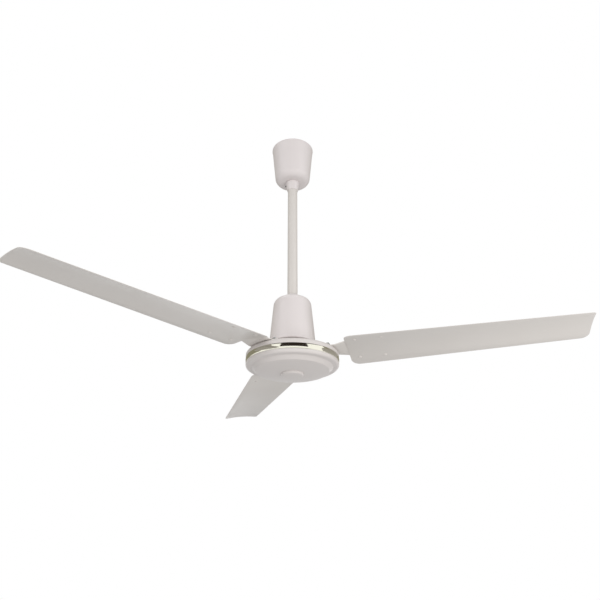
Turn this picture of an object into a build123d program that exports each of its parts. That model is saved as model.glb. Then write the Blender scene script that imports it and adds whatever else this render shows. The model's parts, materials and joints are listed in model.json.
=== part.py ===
"""Three-blade ceiling fan on a downrod: hook, hanger, canopy, motor cover, motor, housing, arms and blades.

Millimetres, +Z up. The origin is on the ceiling, on the axis of the downrod. The fan hangs below it and one
blade points along +X. Heights are worked out downwards, piece by piece, from the ceiling.
"""

from build123d import *

import os
from math import cos, degrees, radians, sin, tan

# Clearances
FIT = 0.05  # radial clearance of a pin, shaft or thread in its hole
SEAT = 0.3  # gap left between curved faces that rest on each other

# Ceiling plate
PLATE_SIDE = 74.0
PLATE_THICK = 3.0
PLATE_CORNER = 8.0
CEILING_SCREW_SPACING = 54.0
CEILING_SCREW_HOLE = 6.4
BOSS_DIA = 22.0
BOSS_HEIGHT = 9.0

# Hook and its lock nut
HOOK_WIRE = 10.0
HOOK_NECK = 5.5  # lock nut to the upper corner of the offset
HOOK_OFFSET_DROP = 12.5  # between the offset's two corners
HOOK_SHANK = 14.0  # lower corner to the shackle bolt's axis
HOOK_TIP = 6.0  # straight end beyond the half turn
HOOK_BEND = 10.0
LOCK_NUT_FLATS = 17.0
LOCK_NUT_HEIGHT = 6.0

# Rubber roller on a steel bush
ROLLER_WAIST = 22.0
ROLLER_FLANGE_DEPTH = 6.0
ROLLER_GROOVE_ROOM = 0.6  # hook to the groove's sides
ROLLER_LAND = 2.3
ROLLER_END_GAP = 0.7
ROLLER_EDGE = 1.0
BUSH_WALL = 1.95
BUSH_END_GAP = 0.3

# Shackle
EAR_GAP = 29.0
EAR_THICK = 4.0
EAR_WIDTH = 26.0
WEB_ROOM = 4.7  # hook's underside to the web
WEB_THICK = 6.0
SHACKLE_BEND = 7.0
SOCKET_WALL = 4.6
SOCKET_DEPTH = 30.0
SOCKET_FLAT = 1.5  # depth of the flats under the bolt heads
SOCKET_CHAMFER = 2.0

# Bolts, nuts and split pins
SHACKLE_BOLT = 8.0
SHACKLE_BOLT_FLATS = 13.0
SHACKLE_BOLT_HEAD = 5.3
SHACKLE_NUT_HEIGHT = 6.5
ROD_BOLT = 6.0
ROD_BOLT_FLATS = 10.0
ROD_BOLT_HEAD = 4.0
ROD_NUT_HEIGHT = 5.0
PIN_ROOM = 2.5  # nut face to the split pin's axis, and on to the bolt's end
SPLIT_PIN = 1.8
SPLIT_PIN_REACH = 16.0
SPLIT_PIN_SPREAD = 25.0

# Downrod
ROD_DIA = 26.7
ROD_WALL = 2.6
ROD_LENGTH = 465.0
ROD_BOLT_INSET = 14.0  # rod's end to its bolt

# Terminal block in the canopy
TERMINAL_DEPTH = 13.0
TERMINAL_HEIGHT = 20.0
TERMINAL_WAYS = 3
TERMINAL_PITCH = 8.0
TERMINAL_MARGIN = 1.0
TERMINAL_WIRE_HOLE = 4.0
TERMINAL_WELL = 4.6
TERMINAL_SCREW = 3.0
TERMINAL_SCREW_HEAD = 5.4
TERMINAL_SCREW_BITE = 3.0

# Canopy and its collar
CANOPY_GAP = 7.5  # ceiling to the canopy's rim
CANOPY_RIM_DIA = 119.2
CANOPY_FOOT_DIA = 96.2
CANOPY_DROP = 11.1  # shackle's socket to the canopy's foot
CANOPY_ROUND = 17.5
CANOPY_WALL = 2.0
COLLAR_SPIGOT_WALL = 2.55
COLLAR_TOP_WALL = 6.1
COLLAR_FOOT_WALL = 1.6
COLLAR_HEIGHT = 27.0
COLLAR_EDGE = 2.0
COLLAR_SPIGOT = 5.0
COLLAR_SCREW = 4.0
COLLAR_SCREW_DROP = 7.0
COLLAR_SCREW_PROUD = 3.0

# Motor cover, the bell over the yoke
COVER_HEADROOM = 20.7  # yoke's top to the top of the bell
COVER_HEIGHT = 136.9
COVER_FOOT_DIA = 118.5
COVER_SHOULDER_DIA = 96.6
COVER_SHOULDER_DROP = 18.3
COVER_ROUND = 18.8
COVER_WALL = 2.0
GROMMET_WALL = 3.55
GROMMET_FLANGE = 3.5
GROMMET_LIP = 2.5

# Yoke that joins the rod and the motor shaft
YOKE_SOCKET = 42.0
YOKE_WEB = 5.0
YOKE_NECK = 28.0
YOKE_NECK_WALL = 5.45
GRUB_DIA = 6.0
GRUB_LENGTH = 5.6
LEAD_WAY = 10.0  # bore for the leads

# Capacitor strapped to the yoke
CAPACITOR_ROOM = 3.9  # capacitor to the bell's shoulder
CAPACITOR_WIDTH = 34.0
CAPACITOR_HEIGHT = 40.0
CAPACITOR_EDGE = 3.0
CAPACITOR_DROP = 10.0  # yoke's top to the capacitor's top
BAND_WIDTH = 9.0
BAND_THICK = 1.0

# Motor shaft and its two bearings
SHAFT_DIA = 20.0
SHAFT_END_DIA = 15.0
SHAFT_TAIL = 2.6  # lower bearing to the shaft's end
SHAFT_END_GAP = 1.0  # shaft's end to the bottom cap
UPPER_BEARING_DEPTH = 13.5  # bore to the outer diameter, on one side
UPPER_BEARING_WIDTH = 14.0
UPPER_BALL = 7.9
LOWER_BEARING_DEPTH = 10.0
LOWER_BEARING_WIDTH = 11.0
LOWER_BALL = 6.0
BALL_COUNT = 7
GROOVE_SHARE = 0.24  # share of a ball's diameter that each race takes in
CIRCLIP_THICK = 1.2
CIRCLIP_GROOVE = 0.8
CIRCLIP_RING = 3.0

# Rotor ring and squirrel cage, inwards from the housing's skin
ROTOR_ROOM = 18.4  # housing's skin to the rotor ring
ROTOR_DEPTH = 17.5
AIR_GAP = 0.5
CAGE_BARS = 24
CAGE_INSET = 6.0  # rotor's rim to the bars
BAR_WIDTH = 4.0
BAR_DEPTH = 9.0
CAGE_RING = 4.0
CAGE_LIP = 1.0

# Stator, inwards from its own rim
STATOR_TEETH = 12
TOOTH_WIDTH = 13.0
TOOTH_SHOE = 6.0
SLOT_MOUTH = 3.0
COIL_INSET = 11.0  # stator's rim to the coils
COIL_DEPTH = 19.0
COIL_THICK = 5.0
COIL_OVERHANG = 7.0
COIL_GAP = 0.4
COIL_EDGE = 3.0
COIL_ROOM = 3.3  # coils to the lower shield
SLOT_FLOOR = 4.0  # coils to the slot's floor
YOKE_RING = 16.0  # slot's floor to the spider
SPIDER_WEB = 5.0
SPIDER_SLEEVE_WALL = 4.95

# Housing
HOUSING_DIA = 232.8
COVER_RUN_GAP = 1.6  # bell's foot to the housing's hump
SHIELD_WALL = 2.5
HUMP_INSET = 2.6  # bell's foot to the hump's shoulder
HUMP_HEIGHT = 22.2
HUMP_ROUND = 6.0
SHAFT_EYE_ROOM = 3.0
LEDGE_WIDTH = 42.4
RIM_HEIGHT = 12.9  # ledge to the trim band
RIM_ROUND = 7.0
BEARING_WALL = 3.5
RING_RIB = 3.0
RING_RIB_HEIGHT = 16.0
TRIM_HEIGHT = 13.9
TRIM_DEPTH = 6.7
TRIM_BULGE = 0.9
LIP_HEIGHT = 9.9
LIP_ROUND = 6.0
DISC_INSET = 15.0  # width of the lip's flat underside and its round
DISC_BEVEL = 9.4
DISC_EDGE_DROP = 9.8
DISC_ROUND = 3.0
DISC_CENTRE_DROP = 15.5
RING_SHOULDER = 2.5
HUB_ROUND = 1.5

# Bottom cap
CAP_DIA = 56.0
CAP_DEPTH = 6.1
CAP_WALL = 1.2
CAP_ROUND = 4.8
CAP_MARGIN = 4.0  # flat of the disc round the cap

# Blade arms
BLADES = 3
ARM_THICK = 2.5
ARM_FOOT_GAP = 4.0  # hump to the arm's foot
ARM_FOOT_INSET = 7.2  # housing's skin to the foot's outer edge
ARM_NECK_WIDTH = 71.0
ARM_PALM_LEAD = 2.0  # palm's start inboard of the blade's root
ARM_PALM_SHOULDER = 20.0  # blade's root to the palm's full width
ARM_PALM_LENGTH = 103.0  # blade's root to the palm's end
ARM_PALM_MARGIN = 18.5  # palm's side to the widest part of the blade
ARM_PALM_ROUND = 12.0
ARM_SCREW = 5.0
ARM_SCREW_HEAD = 9.2
ARM_SCREW_HEAD_HEIGHT = 5.0
ARM_SCREW_INSET = 11.6  # housing's skin to the screws
ARM_SCREW_ANGLE = 21.0
ARM_SCREW_EAR = 6.0  # degrees from the screws to the foot's ends
ARM_SCREW_BITE = 7.0

# Blades
BLADE_ROOT_GAP = 23.8  # housing's skin to the blade's root
BLADE_TIP = 700.0
BLADE_ROOT_WIDTH = 149.0
BLADE_TIP_WIDTH = 113.5
BLADE_THICK = 1.0
BLADE_CAMBER_RADIUS = 332.0
BLADE_PITCH = 8.0
BLADE_RISE = 0.65  # degrees that the tips rise
BLADE_LIFT = 0.9  # ledge to the blade's crown, at the axis
ROOT_ROUND = 21.0
TIP_ROUND_LOW = 19.0
TIP_ROUND_HIGH = 8.0
RIVET_DIA = 4.8
RIVET_HEAD = 9.0
RIVET_HEAD_HEIGHT = 2.0
RIVET_EDGE = 11.0  # rivets to the palm's side
RIVET_INSETS = (24.0, 87.0)  # blade's root to the rivets

# Heights, worked out downwards from the ceiling
plate_under = -PLATE_THICK
boss_under = plate_under - BOSS_HEIGHT
lock_nut_foot = boss_under - LOCK_NUT_HEIGHT
offset_top = lock_nut_foot - HOOK_NECK
offset_foot = offset_top - HOOK_OFFSET_DROP
bolt_axis = offset_foot - HOOK_SHANK
hook_radius = ROLLER_WAIST / 2 + SEAT + HOOK_WIRE / 2
web_top = bolt_axis - hook_radius - HOOK_WIRE / 2 - WEB_ROOM
rod_top = web_top - WEB_THICK
socket_foot = rod_top - SOCKET_DEPTH
upper_rod_bolt = rod_top - ROD_BOLT_INSET
rod_foot = rod_top - ROD_LENGTH
lower_rod_bolt = rod_foot + ROD_BOLT_INSET
canopy_rim = -CANOPY_GAP
canopy_foot = socket_foot - CANOPY_DROP
collar_foot = canopy_foot - COLLAR_HEIGHT
yoke_top = rod_foot + YOKE_SOCKET
shaft_top = rod_foot - YOKE_WEB
yoke_foot = shaft_top - YOKE_NECK
cover_top = yoke_top + COVER_HEADROOM
cover_foot = cover_top - COVER_HEIGHT
hump_top = cover_foot - COVER_RUN_GAP
ledge = hump_top - HUMP_HEIGHT
trim_top = ledge - RIM_HEIGHT
trim_foot = trim_top - TRIM_HEIGHT
lip_foot = trim_foot - LIP_HEIGHT
disc_edge = lip_foot - DISC_EDGE_DROP
disc_centre = lip_foot - DISC_CENTRE_DROP
cap_foot = disc_centre - CAP_DEPTH
stack_top = ledge - SHIELD_WALL - COIL_OVERHANG
stack_foot = disc_edge + SHIELD_WALL + COIL_ROOM + COIL_OVERHANG
upper_bearing_top = hump_top - SHIELD_WALL
upper_bearing_foot = upper_bearing_top - UPPER_BEARING_WIDTH
shaft_foot = cap_foot + CAP_WALL + SHAFT_END_GAP
lower_bearing_foot = shaft_foot + SHAFT_TAIL
lower_bearing_top = lower_bearing_foot + LOWER_BEARING_WIDTH
blade_crown = ledge + BLADE_LIFT

# Radii
rod_radius = ROD_DIA / 2
socket_radius = rod_radius + FIT + SOCKET_WALL
upper_bearing_radius = SHAFT_DIA / 2 + UPPER_BEARING_DEPTH
lower_bearing_radius = SHAFT_END_DIA / 2 + LOWER_BEARING_DEPTH
skin = HOUSING_DIA / 2
screw_radius = skin - ARM_SCREW_INSET
foot_outer = skin - ARM_FOOT_INSET
hump_foot_radius = skin - LEDGE_WIDTH
hump_top_radius = COVER_FOOT_DIA / 2 - HUMP_INSET
disc_radius = skin - DISC_INSET
disc_edge_radius = disc_radius - DISC_BEVEL
rotor_radius = skin - ROTOR_ROOM
cage_outer = rotor_radius - CAGE_INSET
cage_inner = cage_outer - BAR_DEPTH
stator_radius = rotor_radius - ROTOR_DEPTH - AIR_GAP
coil_outer = stator_radius - COIL_INSET
coil_inner = coil_outer - COIL_DEPTH
slot_floor = coil_inner - SLOT_FLOOR
spider_radius = slot_floor - YOKE_RING
blade_root = skin + BLADE_ROOT_GAP
palm_start = blade_root - ARM_PALM_LEAD
palm_half = BLADE_ROOT_WIDTH / 2 - ARM_PALM_MARGIN

STAND = (Align.CENTER, Align.CENTER, Align.MIN)


def outline(*corners):
    """Closed flat outline; a corner is (x, y), or (x, y, radius) where it is rounded."""
    face = make_face(Polyline(*[corner[:2] for corner in corners], close=True))
    for x, y, radius in (corner for corner in corners if len(corner) == 3):
        face = fillet(face.vertices().sort_by_distance((x, y, 0))[0], radius)
    return face


def turned(*corners):
    """Solid of revolution about Z from (radius, height) corners."""
    return revolve(Plane.XZ * outline(*corners), Axis.Z)


def round_bar(diameter, top, foot):
    """Upright cylinder between two heights."""
    return Pos(0, 0, foot) * Cylinder(diameter / 2, top - foot, align=STAND)


def tube(outer, inner, top, foot):
    """Upright tube between two heights, from its two diameters."""
    return round_bar(outer, top, foot) - round_bar(inner, top, foot)


def cross_hole(diameter, length, height, turn=90):
    """Cylinder across the axis at a height; turn 90 lies along Y and 0 along X."""
    return Pos(0, 0, height) * Rot(0, 0, turn) * Rot(0, 90, 0) * Cylinder(diameter / 2, length)


def hex_bolt(diameter, flats, head, grip, nut):
    """Bolt along +Z, its head under the origin, drilled for a split pin beyond the nut."""
    bolt = extrude(RegularPolygon(flats / 2, 6, major_radius=False), -head)
    bolt += Cylinder(diameter / 2, grip + nut + 2 * PIN_ROOM, align=STAND)
    return bolt - cross_hole(SPLIT_PIN + 4 * FIT, 2 * diameter, grip + nut + PIN_ROOM)


def hex_nut(bore, flats, height):
    """Hexagon nut standing on the origin along +Z."""
    nut = extrude(RegularPolygon(flats / 2, 6, major_radius=False), height)
    return nut - Cylinder(bore / 2 + FIT, height, align=STAND)


def split_pin():
    """Split pin along Y through the origin: an eye, a straight shank and two spread legs."""
    wire, half = SPLIT_PIN, SPLIT_PIN_REACH / 2
    shank = Rot(90, 0, 0) * Cylinder(wire / 2, SPLIT_PIN_REACH)
    eye = Pos(0, -half - wire, 0) * Rot(0, 90, 0) * Torus(wire * 1.2, wire * 0.35)
    leg = Pos(0, 0, -wire / 4) * Box(wire * 0.8, wire * 0.4, 3 * wire, align=STAND)
    pin = shank + eye
    for lean in (SPLIT_PIN_SPREAD, -SPLIT_PIN_SPREAD):
        pin += Pos(0, half, 0) * Rot(lean - 90, 0, 0) * leg
    return pin


def ceiling_plate():
    """Square plate with four screw holes and a welded boss for the hook."""
    plate = extrude(RectangleRounded(PLATE_SIDE, PLATE_SIDE, PLATE_CORNER), -PLATE_THICK)
    plate -= GridLocations(CEILING_SCREW_SPACING, CEILING_SCREW_SPACING, 2, 2) * Cylinder(
        CEILING_SCREW_HOLE / 2, 4 * PLATE_THICK
    )
    return plate + tube(BOSS_DIA, HOOK_WIRE + 2 * FIT, plate_under, boss_under)


def hanging_hook():
    """J-hook of round bar: neck in the boss, offset, half turn under the roller and a round tip."""
    centre_line = FilletPolyline(
        (0, plate_under),
        (0, offset_top),
        (-hook_radius, offset_foot),
        (-hook_radius, bolt_axis),
        radius=HOOK_BEND,
    )
    lowest = (0, bolt_axis - hook_radius)
    centre_line += ThreePointArc((-hook_radius, bolt_axis), lowest, (hook_radius, bolt_axis))
    centre_line += Line((hook_radius, bolt_axis), (hook_radius, bolt_axis + HOOK_TIP))
    section = Pos(0, 0, plate_under) * Circle(HOOK_WIRE / 2)
    bar = sweep(section, path=Plane.YZ * centre_line)
    return bar + Pos(0, hook_radius, bolt_axis + HOOK_TIP) * Sphere(HOOK_WIRE / 2)


def hook_lock_nut():
    """Thin nut that locks the hook's neck under the boss."""
    return Pos(0, 0, lock_nut_foot) * hex_nut(HOOK_WIRE, LOCK_NUT_FLATS, LOCK_NUT_HEIGHT)


def on_shackle_axis(shape):
    """Turn a piece made along Z onto the shackle bolt's axis, along X."""
    return Pos(0, 0, bolt_axis) * Rot(0, 90, 0) * shape


def rubber_roller():
    """Grooved roller that sits in the hook."""
    bore, waist = bush_radius() + FIT, ROLLER_WAIST / 2
    flange = waist + ROLLER_FLANGE_DEPTH
    half = EAR_GAP / 2 - ROLLER_END_GAP
    mouth, floor = half - ROLLER_LAND, HOOK_WIRE / 2 + ROLLER_GROOVE_ROOM
    return on_shackle_axis(
        turned(
            (bore, -half),
            (flange, -half, ROLLER_EDGE),
            (flange, -mouth),
            (waist, -floor, ROLLER_EDGE),
            (waist, floor, ROLLER_EDGE),
            (flange, mouth),
            (flange, half, ROLLER_EDGE),
            (bore, half),
        )
    )


def bush_radius():
    """Outer radius of the bush."""
    return SHACKLE_BOLT / 2 + FIT + BUSH_WALL


def roller_bush():
    """Steel bush in the roller, turning on the shackle bolt."""
    half = EAR_GAP / 2 - BUSH_END_GAP
    return on_shackle_axis(tube(2 * bush_radius(), SHACKLE_BOLT + 2 * FIT, half, -half))


def ear_span():
    """Distance over both ears of the shackle."""
    return EAR_GAP + 2 * EAR_THICK


def rod_shackle():
    """Bent strap with two ears, a web and a socket for the rod."""
    half_span, half_gap = ear_span() / 2, EAR_GAP / 2
    strap = Plane.XZ * outline(
        (-half_span, 0),
        (-half_span, rod_top, SHACKLE_BEND),
        (half_span, rod_top, SHACKLE_BEND),
        (half_span, 0),
        (half_gap, 0),
        (half_gap, web_top, SHACKLE_BEND - EAR_THICK),
        (-half_gap, web_top, SHACKLE_BEND - EAR_THICK),
        (-half_gap, 0),
    )
    strap = extrude(strap, EAR_WIDTH / 2, both=True)
    ear_shape = Pos(0, bolt_axis) * Circle(EAR_WIDTH / 2)
    ear_shape += Pos(0, (bolt_axis + rod_top) / 2) * Rectangle(EAR_WIDTH, bolt_axis - rod_top)
    strap &= extrude(Plane.YZ * ear_shape, ear_span(), both=True)
    socket = turned(
        (rod_radius + FIT, rod_top),
        (socket_radius, rod_top),
        (socket_radius, socket_foot + SOCKET_CHAMFER),
        (socket_radius - SOCKET_CHAMFER, socket_foot),
        (rod_radius + FIT, socket_foot),
    )
    shackle = strap + socket - cross_hole(SHACKLE_BOLT + 2 * FIT, 2 * ear_span(), bolt_axis, turn=0)
    shackle -= cross_hole(ROD_BOLT + 2 * FIT, 4 * socket_radius, upper_rod_bolt)
    shackle -= bolt_flats(upper_rod_bolt)
    return shackle - terminal_screw_hole()


def bolt_flats(height):
    """Two flats milled on a socket, to seat a bolt's head and nut."""
    side = ROD_BOLT_FLATS * 1.2
    cutter = Box(side, SOCKET_FLAT, side)
    reach = socket_radius - SOCKET_FLAT / 2
    return Pos(0, reach, height) * cutter + Pos(0, -reach, height) * cutter


def shackle_bolt():
    """Bolt through the ears and the bush."""
    bolt = hex_bolt(SHACKLE_BOLT, SHACKLE_BOLT_FLATS, SHACKLE_BOLT_HEAD, ear_span(), SHACKLE_NUT_HEIGHT)
    return on_shackle_axis(Pos(0, 0, -ear_span() / 2) * bolt)


def shackle_nut():
    """Nut of the shackle bolt."""
    nut = hex_nut(SHACKLE_BOLT, SHACKLE_BOLT_FLATS, SHACKLE_NUT_HEIGHT)
    return on_shackle_axis(Pos(0, 0, ear_span() / 2) * nut)


def socket_grip():
    """Length between the two flats of a socket."""
    return 2 * (socket_radius - SOCKET_FLAT)


def along_y(height, start):
    """Place a piece made along +Z so that it runs along +Y from a start, at a height."""
    return Pos(0, start, height) * Rot(-90, 0, 0)


def rod_bolts():
    """The two bolts that cross the rod's ends, in the shackle and in the yoke."""
    bolt = hex_bolt(ROD_BOLT, ROD_BOLT_FLATS, ROD_BOLT_HEAD, socket_grip(), ROD_NUT_HEIGHT)
    return [along_y(height, -socket_grip() / 2) * bolt for height in (upper_rod_bolt, lower_rod_bolt)]


def rod_bolt_nuts():
    """Nuts of the two rod bolts."""
    nut = hex_nut(ROD_BOLT, ROD_BOLT_FLATS, ROD_NUT_HEIGHT)
    return [along_y(height, socket_grip() / 2) * nut for height in (upper_rod_bolt, lower_rod_bolt)]


def split_pins():
    """Split pins beyond the three nuts."""
    out = PIN_ROOM + SHACKLE_NUT_HEIGHT + ear_span() / 2
    across = PIN_ROOM + ROD_NUT_HEIGHT + socket_grip() / 2
    pins = [Pos(out, 0, bolt_axis) * split_pin()]
    for height in (upper_rod_bolt, lower_rod_bolt):
        pins.append(Pos(0, across, height) * Rot(90, 0, 0) * split_pin())
    return pins


def downrod():
    """Steel tube with a cross hole near each end."""
    rod = tube(ROD_DIA, ROD_DIA - 2 * ROD_WALL, rod_top, rod_foot)
    for height in (upper_rod_bolt, lower_rod_bolt):
        rod -= cross_hole(ROD_BOLT + 2 * FIT, 2 * ROD_DIA, height)
    return rod


def terminal_middle():
    """Height of the terminal block's centre."""
    return (rod_top + socket_foot) / 2


def terminal_front():
    """Distance from the axis to the terminal block's outer face."""
    return socket_radius + TERMINAL_DEPTH


def terminal_block():
    """Three-way terminal block seated on the side of the shackle's socket."""
    width = TERMINAL_WAYS * TERMINAL_PITCH + 2 * TERMINAL_MARGIN
    block = Pos(terminal_front() / 2, 0, terminal_middle()) * Box(terminal_front(), width, TERMINAL_HEIGHT)
    block -= round_bar(2 * (socket_radius + FIT), rod_top + 1, socket_foot - 1)
    middle = socket_radius + TERMINAL_DEPTH * 0.6
    wire_hole = Cylinder(TERMINAL_WIRE_HOLE / 2, 2 * TERMINAL_HEIGHT)
    for way in range(TERMINAL_WAYS):
        offset = (way - (TERMINAL_WAYS - 1) / 2) * TERMINAL_PITCH
        block -= Pos(middle, offset, terminal_middle()) * wire_hole
        for side in (1, -1):
            well = Pos(middle, offset, terminal_middle() + side * TERMINAL_HEIGHT / 4) * Rot(0, 90, 0)
            block -= well * Cylinder(TERMINAL_WELL / 2, TERMINAL_DEPTH, align=STAND)
    return block - terminal_screw_hole()


def terminal_screw_hole():
    """Clearance for the terminal block's screw, through the block and into the socket."""
    start = socket_radius - TERMINAL_SCREW_BITE
    hole = Cylinder(TERMINAL_SCREW / 2 + FIT, 2 * TERMINAL_DEPTH, align=STAND)
    return Pos(start, 0, terminal_middle()) * Rot(0, 90, 0) * hole


def terminal_screw():
    """Screw that holds the terminal block."""
    shank = Cylinder(TERMINAL_SCREW / 2, TERMINAL_DEPTH + TERMINAL_SCREW_BITE, align=STAND)
    head = Pos(0, 0, TERMINAL_DEPTH + TERMINAL_SCREW_BITE)
    head *= Cylinder(TERMINAL_SCREW_HEAD / 2, TERMINAL_SCREW / 2, align=STAND)
    return Pos(socket_radius - TERMINAL_SCREW_BITE, 0, terminal_middle()) * Rot(0, 90, 0) * (shank + head)


def canopy():
    """Tapered cup, open towards the ceiling."""
    rim, foot, hole = CANOPY_RIM_DIA / 2, CANOPY_FOOT_DIA / 2, spigot_radius() + FIT
    floor = canopy_foot + CANOPY_WALL
    return turned(
        (rim, canopy_rim),
        (foot, canopy_foot, CANOPY_ROUND),
        (hole, canopy_foot),
        (hole, floor),
        (foot - CANOPY_WALL, floor, CANOPY_ROUND - CANOPY_WALL),
        (rim - CANOPY_WALL, canopy_rim),
    )


def spigot_radius():
    """Outer radius of the collar's spigot."""
    return rod_radius + FIT + COLLAR_SPIGOT_WALL


def collar_top_radius():
    """Outer radius of the collar under the canopy."""
    return rod_radius + FIT + COLLAR_TOP_WALL


def collar_screw_height():
    """Height of the collar's set screw."""
    return canopy_foot - COLLAR_SCREW_DROP


def canopy_collar():
    """Conical collar on the rod, with a spigot into the canopy's floor."""
    bore = rod_radius + FIT
    collar = turned(
        (bore, canopy_foot + COLLAR_SPIGOT),
        (spigot_radius(), canopy_foot + COLLAR_SPIGOT),
        (spigot_radius(), canopy_foot),
        (collar_top_radius(), canopy_foot, COLLAR_EDGE),
        (bore + COLLAR_FOOT_WALL, collar_foot),
        (bore, collar_foot),
    )
    screw_hole = Cylinder(COLLAR_SCREW / 2 + FIT, 2 * collar_top_radius(), align=STAND)
    return collar - Pos(0, 0, collar_screw_height()) * Rot(0, -90, 0) * screw_hole


def canopy_set_screw():
    """Screw in the collar that clamps it on the rod."""
    start = rod_radius + FIT
    length = collar_top_radius() + COLLAR_SCREW_PROUD - start
    screw = Cylinder(COLLAR_SCREW / 2, length, align=STAND)
    return Pos(-start, 0, collar_screw_height()) * Rot(0, -90, 0) * screw


def cover_hole():
    """Radius of the hole in the bell's top."""
    return rod_radius + FIT + GROMMET_WALL + FIT


def motor_cover():
    """Bell with a domed top, open towards the housing."""
    foot, shoulder, hole = COVER_FOOT_DIA / 2, COVER_SHOULDER_DIA / 2, cover_hole()
    shoulder_height = cover_top - COVER_SHOULDER_DROP
    return turned(
        (foot, cover_foot),
        (shoulder, shoulder_height, COVER_ROUND),
        (hole, cover_top),
        (hole, cover_top - COVER_WALL),
        (shoulder - COVER_WALL, shoulder_height - COVER_WALL, COVER_ROUND - COVER_WALL),
        (foot - COVER_WALL, cover_foot),
    )


def cover_grommet():
    """Rubber ring in the bell's top hole that grips the rod."""
    bore, neck, flange = rod_radius + FIT, cover_hole() - FIT, cover_hole() + GROMMET_FLANGE
    under = cover_top - COVER_WALL
    slope = COVER_SHOULDER_DROP / (COVER_SHOULDER_DIA / 2 - cover_hole() - COVER_WALL)
    drop = slope * GROMMET_FLANGE + FIT
    return turned(
        (bore, cover_top + GROMMET_LIP / 2),
        (neck - GROMMET_LIP / 2, cover_top + GROMMET_LIP / 2),
        (neck, cover_top),
        (neck, under - drop),
        (flange, under - drop),
        (flange, under - drop - GROMMET_LIP),
        (bore, under - drop - GROMMET_LIP),
    )


def motor_yoke():
    """Forged sleeve: the rod enters it from above and the motor shaft from below."""
    rod_bore, shaft_bore = rod_radius + FIT, SHAFT_DIA / 2 + FIT
    outer, neck = socket_radius, shaft_bore + YOKE_NECK_WALL
    yoke = turned(
        (LEAD_WAY / 2, rod_foot),
        (rod_bore, rod_foot),
        (rod_bore, yoke_top),
        (outer - SOCKET_CHAMFER, yoke_top),
        (outer, yoke_top - SOCKET_CHAMFER),
        (outer, shaft_top),
        (neck, shaft_top - (outer - neck)),
        (neck, yoke_foot),
        (shaft_bore, yoke_foot),
        (shaft_bore, shaft_top),
        (LEAD_WAY / 2, shaft_top),
    )
    yoke -= cross_hole(ROD_BOLT + 2 * FIT, 4 * outer, lower_rod_bolt)
    yoke -= bolt_flats(lower_rod_bolt)
    for height, start in grub_places():
        yoke -= Pos(-start, 0, height) * Rot(0, -90, 0) * Cylinder(GRUB_DIA / 2 + FIT, outer, align=STAND)
    return yoke


def grub_places():
    """Height and start radius of the two grub screws, on the rod and on the shaft."""
    return (
        ((yoke_top + lower_rod_bolt) / 2, rod_radius + FIT),
        ((shaft_top + yoke_foot) / 2 - GRUB_DIA / 2, SHAFT_DIA / 2 + FIT),
    )


def grub_screws():
    """Two headless screws in the yoke."""
    screw = Cylinder(GRUB_DIA / 2, GRUB_LENGTH, align=STAND)
    hex_socket = extrude(RegularPolygon(GRUB_DIA / 4, 6, major_radius=False), GRUB_LENGTH)
    screw -= Pos(0, 0, GRUB_LENGTH / 2) * hex_socket
    return [Pos(-start, 0, height) * Rot(0, -90, 0) * screw for height, start in grub_places()]


def capacitor_depth():
    """Depth of the capacitor, from the room between the yoke and the bell."""
    return COVER_SHOULDER_DIA / 2 - COVER_WALL - CAPACITOR_ROOM - SEAT - socket_radius


def capacitor_distance():
    """Distance from the axis to the capacitor's centre."""
    return socket_radius + SEAT + capacitor_depth() / 2


def capacitor():
    """Run capacitor in a rounded plastic case, on the side of the yoke."""
    case = extrude(RectangleRounded(capacitor_depth(), CAPACITOR_WIDTH, CAPACITOR_EDGE), -CAPACITOR_HEIGHT)
    return Pos(capacitor_distance(), 0, yoke_top - CAPACITOR_DROP) * case


def capacitor_band():
    """Steel band drawn round the yoke and the capacitor."""
    height = shaft_top + BAND_WIDTH / 2
    case = Pos(capacitor_distance(), 0) * RectangleRounded(
        capacitor_depth() + 2 * FIT, CAPACITOR_WIDTH + 2 * FIT, CAPACITOR_EDGE + FIT
    )
    inside = make_hull(Circle(socket_radius + FIT).edges() + case.edges())
    band = offset(inside, BAND_THICK, kind=Kind.ARC) - inside
    return Pos(0, 0, height) * extrude(band, BAND_WIDTH / 2, both=True)


def motor_shaft():
    """Hollow stationary shaft, stepped for the lower bearing and grooved for two circlips."""
    upper, lower, bore = SHAFT_DIA / 2, SHAFT_END_DIA / 2, LEAD_WAY / 2
    shaft = turned(
        (bore, shaft_top),
        (upper, shaft_top),
        (upper, lower_bearing_top),
        (lower, lower_bearing_top),
        (lower, shaft_foot),
        (bore, shaft_foot),
    )
    for top, radius in circlip_places():
        shaft -= tube(4 * radius, 2 * (radius - CIRCLIP_GROOVE), top, top - CIRCLIP_THICK)
    return shaft - cross_hole(LEAD_WAY * 0.7, SHAFT_DIA, upper_bearing_foot - LEAD_WAY, turn=0)


def circlip_places():
    """Top height and shaft radius of each circlip, both right under a bearing."""
    return (upper_bearing_foot, SHAFT_DIA / 2), (lower_bearing_foot, SHAFT_END_DIA / 2)


def shaft_circlips():
    """Two circlips that carry the bearings' inner rings."""
    return [
        tube(
            2 * (radius - CIRCLIP_GROOVE + FIT) + 2 * CIRCLIP_RING,
            2 * (radius - CIRCLIP_GROOVE + FIT),
            top,
            top - CIRCLIP_THICK,
        )
        for top, radius in circlip_places()
    ]


def pitch_radius(bore, outer):
    """Radius of the circle that a bearing's balls run on."""
    return (bore + outer) / 4


def race_groove(bore, outer, ball, middle):
    """Ring-shaped cutter of the groove that the balls run in."""
    return Pos(0, 0, middle) * Torus(pitch_radius(bore, outer), ball / 2 + FIT)


def race_lip(ball):
    """Distance from the balls' circle to the edge of each race."""
    return ball * (0.5 - GROOVE_SHARE)


def inner_ring(bore, outer, width, ball, top):
    """Inner ring of a ball bearing."""
    edge = 2 * (pitch_radius(bore, outer) - race_lip(ball))
    return tube(edge, bore + 2 * FIT, top, top - width) - race_groove(bore, outer, ball, top - width / 2)


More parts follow.
